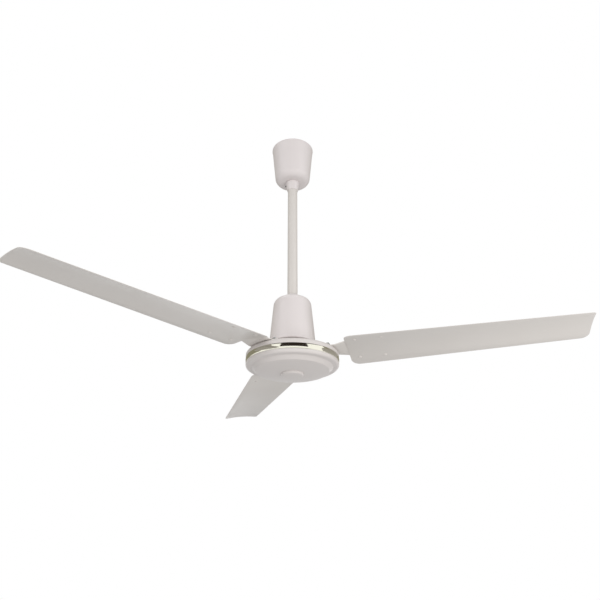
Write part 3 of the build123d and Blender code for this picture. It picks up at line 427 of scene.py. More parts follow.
FINISHES: dict[Slot, Finish] = {
    Slot.ENAMEL: Paint("enamel_white", (222, 217, 212), 0.38, (214, 208, 202), (236, 233, 229), 700, 3e-5),
    Slot.CASTING: Paint("casting_white", (219, 213, 210), 0.40, (212, 205, 201), (238, 236, 233), 800, 3e-5),
    Slot.PLASTIC: Paint("plastic_white", (229, 222, 221), 0.34, (223, 216, 214), (240, 237, 235), 1500, 1e-5),
    Slot.RUBBER: Paint("rubber_white", (214, 209, 205), 0.62, (204, 199, 194), (220, 216, 212), 2200, 3e-5),
    Slot.ZINC: Plate("zinc_plate", (182, 184, 182), 0.34, (160, 163, 164), 260),
    Slot.DARK_STEEL: Plate("dark_steel", (92, 90, 88), 0.46, (80, 78, 76), 700),
    Slot.GROUND_STEEL: Plate("ground_steel", (190, 190, 188), 0.22, (160, 160, 160), 2600, lathe=True),
    Slot.BALL_STEEL: Plate("ball_steel", (206, 206, 206), 0.08, (196, 196, 197), 300, depth=2e-6),
    Slot.BUSH_STEEL: Plate("bush_steel", (168, 164, 156), 0.30, (136, 130, 122), 220),
    Slot.BLACK_RUBBER: Paint("rubber_black", (38, 37, 36), 0.70, (28, 27, 27), (62, 60, 58), 1800, 6e-5),
    Slot.NYLON: Paint("nylon_natural", (226, 221, 206), 0.42, (214, 208, 190), (236, 232, 220), 1300, 2e-5),
    Slot.CAPACITOR: Paint("capacitor_case", (58, 58, 60), 0.44, (48, 48, 50), (84, 84, 86), 1600, 3e-5),
    Slot.LAMINATION: Stack("laminations", (120, 118, 116), 0.45, (46, 44, 42), 2000),
    Slot.ALUMINIUM: Plate("cast_aluminium", (186, 186, 188), 0.48, (158, 158, 161), 420, depth=8e-5),
    Slot.COPPER: Plate("enamelled_wire", (198, 106, 58), 0.28, (158, 72, 36), 800),
    Slot.TRIM: Plate("bright_trim", (208, 206, 193), 0.07, (201, 198, 185), 2600, lathe=True, depth=2e-6),
    Slot.RIVET: Paint("rivet_painted", (222, 217, 212), 0.34, (214, 208, 202), (236, 233, 229), 900, 3e-5),
}


class Corner(NamedTuple):
    """A corner of an outline or a bent wire; outlines give it as a plain tuple."""

    across: float
    up: float
    round: float = 0.0  # radius of the corner, 0 where it is sharp


class Plane(Enum):
    """Planes to draw in, by the directions of a corner's two coordinates."""

    XY = (Vector((1, 0, 0)), Vector((0, 1, 0)))
    XZ = (Vector((1, 0, 0)), Vector((0, 0, 1)))
    YZ = (Vector((0, 1, 0)), Vector((0, 0, 1)))


class Metric(Enum):
    """Metric threads, by diameter, width across flats, height of head, height of nut and pitch."""

    M6 = (6.0, 10.0, 4.0, 5.0, 1.0)
    M8 = (8.0, 13.0, 5.3, 6.5, 1.25)
    M10 = (10.0, 17.0, 6.4, 6.0, 1.5)

    @property
    def hole(self) -> float:
        """Radius of a close hole for the bolt."""
        return self.value[0] / 2 + CLEAR


def moved(across: float = 0.0, along: float = 0.0, up: float = 0.0) -> Matrix:
    """Place shifted along X, Y and Z, in millimetres."""
    return Matrix.Translation(Vector((across, along, up)) * MM)


def turned_by(angle: float, axis: str) -> Matrix:
    """Place turned by an angle in degrees about an axis through the origin."""
    return Matrix.Rotation(radians(angle), 4, axis)


def ring_of(count: int) -> list[Matrix]:
    """Turns that spread so many copies evenly round the Z axis."""
    return [turned_by(index * 360 / count, "Z") for index in range(count)]


def box(left: float, low: float, right: float, high: float, rounding: float = 0.0) -> list[Corner]:
    """Outline of a rectangle, with its corners rounded or sharp."""
    spots = ((left, low), (right, low), (right, high), (left, high))
    return [Corner(*spot, rounding) for spot in spots]


def mirrored(outline: Outline) -> list[Corner]:
    """An outline followed by its mirror image on the other side of height 0."""
    corners = [Corner(*corner) for corner in outline]
    return [*corners, *(Corner(corner.across, -corner.up, corner.round) for corner in reversed(corners))]


def arc(radius: float, first: float, last: float, steps: int) -> list[Corner]:
    """Corners on an arc about the origin, from one angle in degrees to another."""
    angles = [radians(first + (last - first) * step / steps) for step in range(steps + 1)]
    return [Corner(radius * cos(angle), radius * sin(angle)) for angle in angles]


def thread(radius: float, start: float, end: float, pitch: float) -> list[Corner]:
    """Profile of a thread along Z.

    Args:
        radius: radius over the crests.
        start: height where the thread starts.
        end: height where it ends.
        pitch: distance between two crests.

    Returns:
        The corners from start to end.
    """
    turns = max(1, round(abs(end - start) / pitch))
    step = (end - start) / turns
    root = radius - THREAD_DEPTH * pitch
    corners = []
    for turn in range(turns):
        corners += [Corner(root, start + turn * step), Corner(radius, start + (turn + 0.5) * step)]
    return [*corners, Corner(root, end)]


class Bench:
    """Tools that model one piece at a time in edit mode, with sizes in millimetres."""

    def point(self, name: str) -> Piece:
        """Start a piece as a single point at the origin, in edit mode.

        Args:
            name: the piece's name.

        Returns:
            The new object.
        """
        bpy.ops.object.select_all(action="DESELECT")
        bpy.ops.mesh.primitive_plane_add(size=MM)
        piece = self.named(bpy.context.active_object, name)
        bpy.ops.object.mode_set(mode="EDIT")
        bpy.ops.mesh.merge(type="CENTER")
        return piece

    def named(self, piece: Piece, name: str) -> Piece:
        """Name a piece and its mesh."""
        piece.name = piece.data.name = name
        return piece

    def pick(self, test: Callable[[Vector], bool]) -> None:
        """Select the points that pass a test, with the edges and faces between them.

        Args:
            test: says of a place in millimetres whether it is picked.
        """
        bpy.ops.mesh.select_all(action="DESELECT")
        mesh = bmesh.from_edit_mesh(bpy.context.edit_object.data)
        for vert in mesh.verts:
            vert.select = test(vert.co / MM)
        mesh.select_flush(True)

    def pick_at(self, *spots: Vector) -> None:
        """Select the points nearest to some places.

        Args:
            spots: the places, in metres.
        """
        bpy.ops.mesh.select_all(action="DESELECT")
        mesh = bmesh.from_edit_mesh(bpy.context.edit_object.data)
        for spot in spots:
            min(mesh.verts, key=lambda vert: (vert.co - spot).length_squared).select = True
        mesh.select_flush(True)

    def draw(self, outline: Outline, plane: Plane = Plane.XZ, closed: bool = True) -> None:
        """Draw an outline from the single point by extruding it, then round its corners.

        Args:
            outline: its corners in order.
            plane: the plane that it is drawn in.
            closed: whether the last corner joins the first.
        """
        across, up = plane.value
        corners = [Corner(*corner) for corner in outline]
        spots = [(across * corner.across + up * corner.up) * MM for corner in corners]
        bpy.ops.transform.translate(value=spots[0])
        for start, end in pairwise(spots):
            bpy.ops.mesh.extrude_region_move(TRANSFORM_OT_translate={"value": end - start})
        if closed:
            self.pick_at(spots[0], spots[-1])
            bpy.ops.mesh.edge_face_add()
        for index, corner in enumerate(corners):
            if corner.round:
                before, after = (spots[near % len(spots)] - spots[index] for near in (index - 1, index + 1))
                angle = before.angle(after)
                setback = corner.round * MM / tan(angle / 2)
                segments = max(3, round(12 * (pi - angle) / pi + corner.round / 4))
                self.pick_at(spots[index])
                bpy.ops.mesh.bevel(offset=setback, segments=segments, affect="VERTICES", clamp_overlap=True)

    def fill(self) -> None:
        """Close what is drawn with a face."""
        bpy.ops.mesh.select_all(action="SELECT")
        bpy.ops.mesh.edge_face_add()

    def pull(self, way: Vector, length: float) -> None:
        """Extrude all that is drawn some way, by a length."""
        bpy.ops.mesh.select_all(action="SELECT")
        bpy.ops.mesh.extrude_region_move(TRANSFORM_OT_translate={"value": way * length * MM})

    def strips(self, way: Vector, width: float, count: int) -> None:
        """Divide all that is drawn by straight cuts through the origin and on both sides of it.

        Args:
            way: direction square to the cuts.
            width: distance between two cuts.
            count: number of cuts on each side.
        """
        for index in range(-count, count + 1):
            bpy.ops.mesh.select_all(action="SELECT")
            bpy.ops.mesh.bisect(plane_co=way * (index * width * MM), plane_no=way)

    def spin(self, steps: int, angle: float = 360.0) -> None:
        """Turn all that is drawn about the Z axis, clockwise from above, in so many steps."""
        bpy.ops.mesh.select_all(action="SELECT")
        bpy.ops.mesh.spin(steps=steps, angle=radians(angle), center=(0, 0, 0), axis=(0, 0, 1))

    def finish(self, piece: Piece, crease: float = CREASE) -> Piece:
        """Leave edit mode with doubles merged, faces outwards and soft shading.

        Args:
            piece: the piece in edit mode.
            crease: degrees from which an edge stays sharp.

        Returns:
            The piece.
        """
        bpy.ops.mesh.select_all(action="SELECT")
        bpy.ops.mesh.remove_doubles(threshold=MERGE * MM)
        bpy.ops.mesh.normals_make_consistent(inside=False)
        bpy.ops.object.mode_set(mode="OBJECT")
        return self.shade(piece, crease)

    def shade(self, piece: Piece, crease: float = CREASE) -> Piece:
        """Shade a piece smooth up to an angle in degrees.

        Args:
            piece: the piece to shade.
            crease: the angle.

        Returns:
            The piece.
        """
        self.only(piece)
        bpy.ops.object.shade_smooth_by_angle(angle=radians(crease))
        return piece

    def only(self, piece: Piece) -> None:
        """Make a piece the only selected object and the active one.

        Args:
            piece: the piece.
        """
        bpy.ops.object.select_all(action="DESELECT")
        piece.select_set(True)
        bpy.context.view_layer.objects.active = piece

    def turned(self, name: str, outline: Outline, steps: int = 96, crease: float = CREASE) -> Piece:
        """Model a piece that is round about the Z axis.

        Args:
            name: the piece's name.
            outline: its section; it starts and ends at 0 across where the piece has no bore.
            steps: faces round the axis.
            crease: degrees from which an edge stays sharp.

        Returns:
            The new piece.
        """
        piece = self.point(name)
        self.draw(outline, closed=outline[0][0] > 0)
        self.spin(steps)
        return self.finish(piece, crease)

    def slab(self, name: str, outline: Outline, thick: float, plane: Plane = Plane.XY) -> Piece:
        """Model a flat outline with a thickness.

        Args:
            name: the piece's name.
            outline: its outline.
            thick: how far it is pulled square to its plane.
            plane: the plane of the outline.

        Returns:
            The new piece.
        """
        piece = self.point(name)
        self.draw(outline, plane)
        self.fill()
        self.pull(plane.value[0].cross(plane.value[1]), thick)
        return self.finish(piece)

    def wire(self, name: str, outline: Outline, diameter: float, plane: Plane, closed: bool = False) -> Piece:
        """Model a bent round wire.

        Args:
            name: the piece's name.
            outline: its centre line.
            diameter: the wire's diameter.
            plane: the plane of the centre line.
            closed: whether the wire is a loop.

        Returns:
            The new piece.
        """
        self.point(name)
        self.draw(outline, plane, closed)
        bpy.ops.object.mode_set(mode="OBJECT")
        bpy.ops.object.convert(target="CURVE")
        curve = bpy.context.active_object.data
        curve.bevel_depth = diameter / 2 * MM
        curve.bevel_resolution = 2 if closed else 5
        curve.use_fill_caps = not closed
        bpy.ops.object.convert(target="MESH")
        bpy.ops.object.mode_set(mode="EDIT")
        return self.finish(bpy.context.active_object, 50.0)

    def apply(self, piece: Piece, kind: str, **settings: object) -> Piece:
        """Add a modifier and apply it.

        Args:
            piece: the piece to change.
            kind: the modifier's Blender type.
            settings: the modifier's properties.

        Returns:
            The piece.
        """
        self.only(piece)
        modifier = piece.modifiers.new(kind.lower(), kind)
        for name, value in settings.items():
            setattr(modifier, name, value)
        bpy.ops.object.modifier_apply(modifier=modifier.name)
        return piece

    def soften(self, piece: Piece, width: float, segments: int = 2, crease: float = 40.0) -> Piece:
        """Round the sharp edges of a piece.

        Args:
            piece: the piece to change.
            width: width of the rounding.
            segments: faces across it.
            crease: degrees from which an edge counts as sharp.

        Returns:
            The piece.
        """
        limits = {"limit_method": "ANGLE", "angle_limit": radians(crease)}
        self.apply(piece, "BEVEL", width=width * MM, segments=segments, **limits)
        return self.shade(piece, crease)

    def cut(self, piece: Piece, tool: Piece, operation: str = "DIFFERENCE") -> Piece:
        """Cut a piece with another one, which is used up.

        Args:
            piece: the piece to change.
            tool: the cutter.
            operation: the Boolean modifier's operation.

        Returns:
            The piece.
        """
        self.apply(piece, "BOOLEAN", object=tool, operation=operation, solver="MANIFOLD")
        bpy.data.objects.remove(tool)
        return self.shade(piece)

    def drill(self, radius: float, start: float, end: float, steps: int = 36) -> Piece:
        """Cutter for a round hole along Z, from one height to another."""
        return self.turned("drill", ((0, start), (radius, start), (radius, end), (0, end)), steps)

    def bore(self, piece: Piece, place: Matrix, radius: float, start: float, end: float) -> Piece:
        """Drill a round hole along a place's Z axis, from one distance to another."""
        return self.cut(piece, self.settle(self.drill(radius, start, end), place))

    def cross_hole(self, socket: Piece, height: float, grip: float) -> None:
        """Drill a socket for the bolt across the rod, and mill round flats under its head and nut.

        Args:
            socket: the socket, round about the Z axis.
            height: height of the bolt.
            grip: half the distance between the flats.
        """
        flat = 6.6
        self.bore(socket, moved(up=height) @ turned_by(90, "X"), Metric.M6.hole, -40, 40)
        for side in (90, -90):
            self.bore(socket, moved(up=height) @ turned_by(side, "X"), flat, grip, grip + 6)

    def notch(self, piece: Piece, outline: Outline, width: float, turn: float = 0.0) -> Piece:
        """Cut a straight slot of an upright outline across the Z axis, turned by an angle in degrees."""
        tool = self.slab("notch", outline, width, Plane.XZ)
        return self.cut(piece, self.settle(tool, turned_by(turn, "Z"), moved(along=width / 2)))

    def settle(self, piece: Piece, *places: Matrix) -> Piece:
        """Move a piece's mesh through a chain of places, the outermost first.

        Args:
            piece: the piece to move.
            places: the places.

        Returns:
            The piece, its object at the origin.
        """
        whole = Matrix.Identity(4)
        for place in places:
            whole = whole @ place
        piece.matrix_world = whole
        self.only(piece)
        bpy.ops.object.transform_apply(location=True, rotation=True, scale=True)
        return piece

    def copy(self, piece: Piece, name: str, *places: Matrix) -> Piece:
        """Copy a piece with its own mesh and settle the copy.

        Args:
            piece: the piece to copy.
            name: the copy's name.
            places: where the copy goes.

        Returns:
            The copy.
        """
        self.only(piece)
        bpy.ops.object.duplicate(linked=False)
        return self.settle(self.named(bpy.context.active_object, name), *places)

    def join(self, name: str, pieces: Sequence[Piece]) -> Piece:
        """Make one piece of several.

        Args:
            name: the joined piece's name.
            pieces: what it is made of.

        Returns:
            The joined piece.
        """
        self.only(pieces[0])
        for piece in pieces:
            piece.select_set(True)
        bpy.ops.object.join()
        return self.named(pieces[0], name)

    def repeat(self, piece: Piece, name: str, places: Sequence[Matrix]) -> Piece:
        """Copy a piece to several places and join the copies; the piece itself goes.

        Args:
            piece: the piece that repeats.
            name: the joined piece's name.
            places: where the copies go.

        Returns:
            The joined piece.
        """
        copies = [self.copy(piece, f"{name}_{index}", place) for index, place in enumerate(places)]
        bpy.data.objects.remove(piece)
        return self.join(name, copies)

    def hexagon(self, name: str, flats: float, height: float) -> Piece:
        """Model a hexagon along Z with its corners turned down on both ends.

        Args:
            name: the piece's name.
            flats: width across the flats.
            height: its height, from 0 up.

        Returns:
            The new piece.
        """
        bpy.ops.object.select_all(action="DESELECT")
        corner = flats / sqrt(3)
        sizes = {"radius": corner * MM, "depth": height * MM, "location": (0, 0, height / 2 * MM)}
        bpy.ops.mesh.primitive_cylinder_add(vertices=6, **sizes)
        piece = self.named(bpy.context.active_object, name)
        bpy.ops.object.transform_apply(location=True)
        drop, over = (corner - flats / 2) * 0.66, corner * 1.02
        barrel = (
            (0, 0), (flats / 2, 0), (over, drop), (over, height - drop), (flats / 2, height), (0, height),
        )
        self.cut(piece, self.turned(f"{name}_barrel", barrel, 48), "INTERSECT")
        return self.soften(piece, 0.12, 1, 30.0)

    def bolt(self, name: str, size: Metric, reach: float) -> Piece:
        """Model a hexagon bolt along +Z, with its head under the origin and a threaded end.

        Args:
            name: the piece's name.
            size: its thread.
            reach: the shank's length.

        Returns:
            The new piece.
        """
        width, flats, head, _, pitch = size.value
        radius = width / 2
        end = thread(radius, reach - 1.6 * width, reach - pitch, pitch)
        section = ((0, -0.2), (radius, -0.2), *end, (radius - pitch, reach), (0, reach))
        shank = self.turned(f"{name}_shank", section, 48)
        top = self.settle(self.hexagon(f"{name}_head", flats, head), moved(up=-head))
        return self.join(name, (shank, top))

    def nut(self, name: str, size: Metric) -> Piece:
        """Model a hexagon nut along +Z with a threaded bore.

        Args:
            name: the piece's name.
            size: its thread.

        Returns:
            The new piece.
        """
        width, flats, _, height, pitch = size.value
        radius, over = width / 2 + 0.1, 0.01
        mouth, clear = radius + pitch * 0.7, radius + pitch
        section = (
            (0, -1), (clear, -1), (mouth, -over), *thread(radius, -over, height + over, pitch),
            (mouth, height + over), (clear, height + 1), (0, height + 1),
        )
        tap = self.turned(f"{name}_tap", section, 36)
        return self.cut(self.hexagon(name, flats, height), tap)


class Dressing:
    """Puts a finish and a body on every piece."""

    def __init__(self) -> None:
        """Note the frame's slots, build a material for each slot and dress the CAD nodes."""
        effects = {kind: kind() for kind in (OrangePeel, SettledDust, EdgeWear, ToolMarks)}
        nodes = frame["nodes"].items()
        self.slots = {name: Slot(node.data.materials[0].name.split(".")[0]) for name, node in nodes}
        self.materials = {slot: finish.material(effects) for slot, finish in FINISHES.items()}
        for name, node in nodes:
            for holder in node.material_slots:
                holder.material = self.materials[self.slots[name]]
            log.info("dressed %s as %s", name, self.slots[name].value)

    def dress(self, piece: Piece, slot: Slot) -> None:
        """Give a piece its slot's material in place of what it has."""
        piece.data.materials.clear()
        piece.data.materials.append(self.materials[slot])

    def add(self, piece: Piece, body: str, slot: Slot) -> None:
        """Let a piece ride on a body.

        Args:
            piece: the finished piece.
            body: the body that carries it.
            slot: its finish.
        """
        self.dress(piece, slot)
        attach(piece, body)
        log.info("made %s on %s in %s, %d faces", piece.name, body, slot.value, len(piece.data.polygons))


@dataclass
class Assembly(Bench):
    """What all sub-assemblies share: the tools and the dressing."""

    dressing: Dressing

    def build(self) -> None:
        """Model and place the pieces; each sub-assembly says how."""

    def place(self, piece: Piece, node: str) -> None:
        """Let a finished piece take the place, the body and the finish of a CAD node."""
        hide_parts(node)
        self.dressing.add(piece, frame["nodes"][node]["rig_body"], self.dressing.slots[node])


@dataclass
class CanopySet(Assembly):
    """Tapered canopy, its collar and the set screw."""

    top: float = -7.5  # height of the canopy's rim
    foot: float = -123.1  # height of the canopy's underside
    rim: float = 59.6  # radius at the top
    base: float = 48.1  # radius at the foot, before the round
    round: float = 17.5  # radius of the round at the foot
    bead: float = 3.6  # height of the bead round the rim
    wall: float = 2.0  # thickness of the sheet
    hole: float = 16.0  # radius of the hole in the floor
    rod: float = 13.4  # radius of the collar's bore
    neck: float = 15.95  # radius of the collar's spigot
    collar: float = 19.5  # radius of the collar under the canopy
    collar_end: float = 15.0  # radius of the collar at its foot
    collar_foot: float = -150.1  # height of the collar's foot
    screw: float = 4.0  # diameter of the set screw
    screw_drop: float = 7.0  # canopy's underside to the set screw
    screw_reach: float = 22.5  # axis to the set screw's outer end

    def build(self) -> None:
        """Model and place the pieces."""
        self.place(self.shell(), "canopy")
        self.place(self.sleeve(), "canopy_collar")
        self.place(self.set_screw(), "canopy_set_screw")

    def shell(self) -> Piece:
        """Pressed cup with a beaded rim and a rounded foot.

        Returns:
            The canopy.
        """
        under_bead, floor = self.top - self.bead, self.foot + self.wall
        inner = self.rim - self.wall - 0.8
        section = (
            (inner, self.top, 1.0), (self.rim, self.top, 1.4), (self.rim, under_bead, 1.0),
            (self.rim - 0.9, under_bead - 1.0, 0.8), (self.base, self.foot, self.round),
            (self.hole, self.foot, 0.6), (self.hole, floor),
            (self.base - self.wall, floor, self.round - self.wall), (inner, under_bead - 1.0),
        )
        return self.turned("canopy_shell", section, 128)

    def sleeve(self) -> Piece:
        """Moulded collar with a flange under the canopy and a spigot into its floor.

        Returns:
            The collar.
        """
        spigot, flange, end = self.foot + 5, self.foot - 3.6, self.collar_foot
        section = (
            (self.rod, spigot), (self.neck, spigot, 0.6), (self.neck, self.foot),
            (self.collar, self.foot, 1.8), (self.collar - 0.1, flange, 0.5),
            (self.collar - 0.8, flange - 0.5, 0.4),
            (self.collar_end + 0.2, end + 0.8, 0.4), (self.collar_end, end, 0.3), (self.rod, end),
        )
        return self.turned("collar_sleeve", section)

    def set_screw(self) -> Piece:
        """Slotted screw whose end stands proud of the collar.

        Returns:
            The screw.
        """
        radius, reach, pitch, slot, slot_depth = self.screw / 2, self.screw_reach, 0.7, 0.7, 1.2
        shank = thread(radius, self.rod + 0.3, reach - 0.6, pitch)
        section = ((0, self.rod), *shank, (radius * 0.8, reach), (0, reach))
        screw = self.turned("clamp_screw", section, 32)
        self.notch(screw, box(-3, reach - slot_depth, 3, reach + 1), slot)
        return self.settle(screw, moved(up=self.foot - self.screw_drop), turned_by(-90, "Y"))


@dataclass
class CoverSet(Assembly):
    """Bell over the yoke, the rubber ring in its top and the dust ring in its foot."""

    top: float = -484.3  # height of the bell's top
    foot: float = -621.2  # height of the bell's foot
    base: float = 59.25  # radius at the foot
    shoulder: float = 48.3  # radius of the shoulder, before the round
    shoulder_drop: float = 18.3  # top to the shoulder
    round: float = 18.8  # radius of the shoulder's round
    bead: float = 4.8  # height of the bead round the foot
    wall: float = 2.0  # thickness of the sheet
    hole: float = 17.0  # radius of the hole in the top
    rod: float = 13.4  # radius of the rubber ring's bore

    def build(self) -> None:
        """Model and place the pieces."""
        self.place(self.bell(), "motor_cover")
        self.place(self.grommet(), "cover_grommet")
        body = frame["nodes"]["motor_cover"]["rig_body"]
        self.dressing.add(self.dust_ring(), body, Slot.PLASTIC)

    def dust_ring(self) -> Piece:
        """Ring inside the foot that keeps dust from the bearing.

        Returns:
            The ring.
        """
        outer, low = self.base - self.wall - 0.6, self.foot - 0.7
        inner = outer - 7.5
        section = (
            (outer, self.foot + 0.3), (outer, self.foot + 3.2), (inner, self.foot + 2.2, 0.5),
            (inner, low, 0.5), (outer - 1.6, low, 0.5),
        )
        return self.turned("foot_dust_ring", section, 128)

    def bell(self) -> Piece:
        """Bell with a beaded foot and a turned-in edge round the hole.

        Returns:
            The bell.
        """
        shoulder, over_bead = self.top - self.shoulder_drop, self.foot + self.bead
        inner = self.base - self.wall
        section = (
            (self.hole, self.top, 0.6), (self.shoulder, shoulder, self.round),
            (self.base - 0.7, over_bead + 0.9, 0.8), (self.base, over_bead, 1.2), (self.base, self.foot, 1.2),
            (inner - 0.5, self.foot, 0.8), (inner - 0.7, over_bead),
            (self.shoulder - self.wall, shoulder - self.wall, self.round - self.wall),
            (self.hole, self.top - self.wall),
        )
        return self.turned("bell_shell", section, 128)

    def grommet(self) -> Piece:
        """Soft ring with a lip over and a flange under the sheet.

        Returns:
            The grommet.
        """
        sheet, lip, snug, flange = self.top - self.wall, self.top + 1.25, self.hole - CLEAR, self.hole + 3.5
        top, foot = sheet - 2.5, sheet - 5.0
        section = (
            (self.rod, lip, 0.5), (self.hole - 1.3, lip, 0.8), (snug, self.top - 0.1, 0.3), (snug, top),
            (flange, top, 0.7), (flange, foot, 0.7), (self.rod, foot, 0.4),
        )
        return self.turned("rod_grommet", section)


@dataclass
class Housing(Assembly):
    """Motor housing: two painted shields, the bright band between them and the bottom cap."""

    skin: float = 116.4  # outer radius
    hump_top: float = -622.8  # height of the hump under the bell
    ledge: float = -645.0  # height of the ledge that carries the arms
    trim_top: float = -657.9  # height of the band's upper edge
    trim_foot: float = -671.8  # height of the band's lower edge
    lip_foot: float = -681.7  # height of the lip's underside
    disc_edge: float = -691.5  # height of the disc's edge
    disc_centre: float = -697.2  # height of the disc at the cap
    cap_foot: float = -703.3  # height of the cap's underside
    hump: float = 56.65  # radius of the hump's shoulder
    hump_base: float = 74.0  # radius of the hump on the ledge
    lip: float = 101.4  # inner radius of the lip's underside
    disc: float = 92.0  # radius of the disc
    cap: float = 28.0  # radius of the cap
    band: float = 6.7  # depth of the band behind the skin
    bulge: float = 0.9  # how far the band bulges
    wall: float = 2.5  # thickness of the shields
    rotor: float = 98.05  # radius of the rotor ring

    def build(self) -> None:
        """Model and place the pieces."""
        self.place(self.upper(), "upper_shield")
        self.place(self.lower(), "lower_shield")
        self.place(self.trim(), "trim_band")
        cap = self.bottom()
        self.place(cap, "bottom_cap")
        self.dressing.dress(cap, Slot.CASTING)

    def upper(self) -> Piece:
        """Upper shield with its hump, arm ledge, rounded rim and bearing seat.

        Returns:
            The upper shield.
        """
        wall, under, lid = self.wall, self.ledge - self.wall, self.hump_top - self.wall
        hole, seat, seat_foot = 13.0, 23.55, -639.3
        boss, rim, rim_foot = seat + 3.5, self.rotor + 3, under - 16
        section = (
            (hole, self.hump_top, 0.8), (self.hump, self.hump_top, 6), (self.hump_base, self.ledge, 3),
            (self.skin, self.ledge, 7), (self.skin, self.trim_top, 0.7),
            (self.skin - wall, self.trim_top, 0.4), (self.skin - wall, under, 4.5), (rim, under),
            (rim, rim_foot), (self.rotor, rim_foot), (self.rotor, under), (self.hump_base - wall / 2, under),
            (self.hump - wall / 2, lid), (boss, lid), (boss, seat_foot), (seat, seat_foot), (seat, lid),
            (hole, lid),
        )
        return self.turned("upper_shell", section, 144)

    def lower(self) -> Piece:
        """Lower shield with its lip, bevel and disc, and the hub of the lower bearing.

        Returns:
            The lower shield.
        """
        wall, inside = self.wall, self.disc_centre + self.wall
        hub, seat, hub_foot, hub_top, eye = 21.05, 17.55, -699.1, -687.5, 14.0
        flat, step, step_foot, step_top = self.cap + 4, self.rotor - 2.5, -682.7, -678.7
        section = (
            (self.skin, self.trim_foot, 0.7), (self.skin, self.lip_foot, 6), (self.lip, self.lip_foot, 3),
            (self.disc, self.disc_edge, 3), (flat, self.disc_centre), (hub, self.disc_centre),
            (hub, hub_foot, 1.5), (seat, hub_foot), (seat, hub_top), (eye, hub_top), (eye, hub_top + wall),
            (hub, hub_top + wall), (hub, inside), (flat, inside),
            (self.disc - wall / 2, self.disc_edge + wall, 3), (step, step_foot), (step, step_top),
            (self.rotor, step_top), (self.rotor, self.trim_foot),
        )
        return self.turned("lower_shell", section, 144)

    def trim(self) -> Piece:
        """Polished band, slightly bulged.

        Returns:
            The band.
        """
        edge, inner, bevel = self.skin - self.bulge / 2, self.skin - self.band, 0.15
        middle, half = (self.trim_top + self.trim_foot) / 2, (self.trim_top - self.trim_foot) / 2
        radius = (half**2 + self.bulge**2) / (2 * self.bulge)
        slope = asin(half / radius)
        section = (
            (edge, self.trim_top - bevel), (edge - 0.2, self.trim_top), (inner, self.trim_top),
            (inner, self.trim_foot), (edge - 0.2, self.trim_foot), (edge, self.trim_foot + bevel),
            (edge + (half - bevel) * tan(slope), middle, radius * 0.96),
        )
        return self.turned("trim_ring", section, 180, 50.0)

    def bottom(self) -> Piece:
        """Low pressed cap with a soft edge and a grip ring inside.

        Returns:
            The cap.
        """
        thick, grip, rest, grip_top = 1.2, 21.1, self.disc_centre + 0.02, self.disc_centre - 0.3
        inner, floor = self.cap - thick, self.cap_foot + thick
        section = (
            (0, self.cap_foot), (self.cap, self.cap_foot, 4.8), (self.cap, rest, 0.3), (inner, rest),
            (inner, floor, 3.6), (grip + thick, floor), (grip + thick, grip_top), (grip, grip_top),
            (grip, floor), (0, floor),
        )
        return self.turned("cap_shell", section, 96)


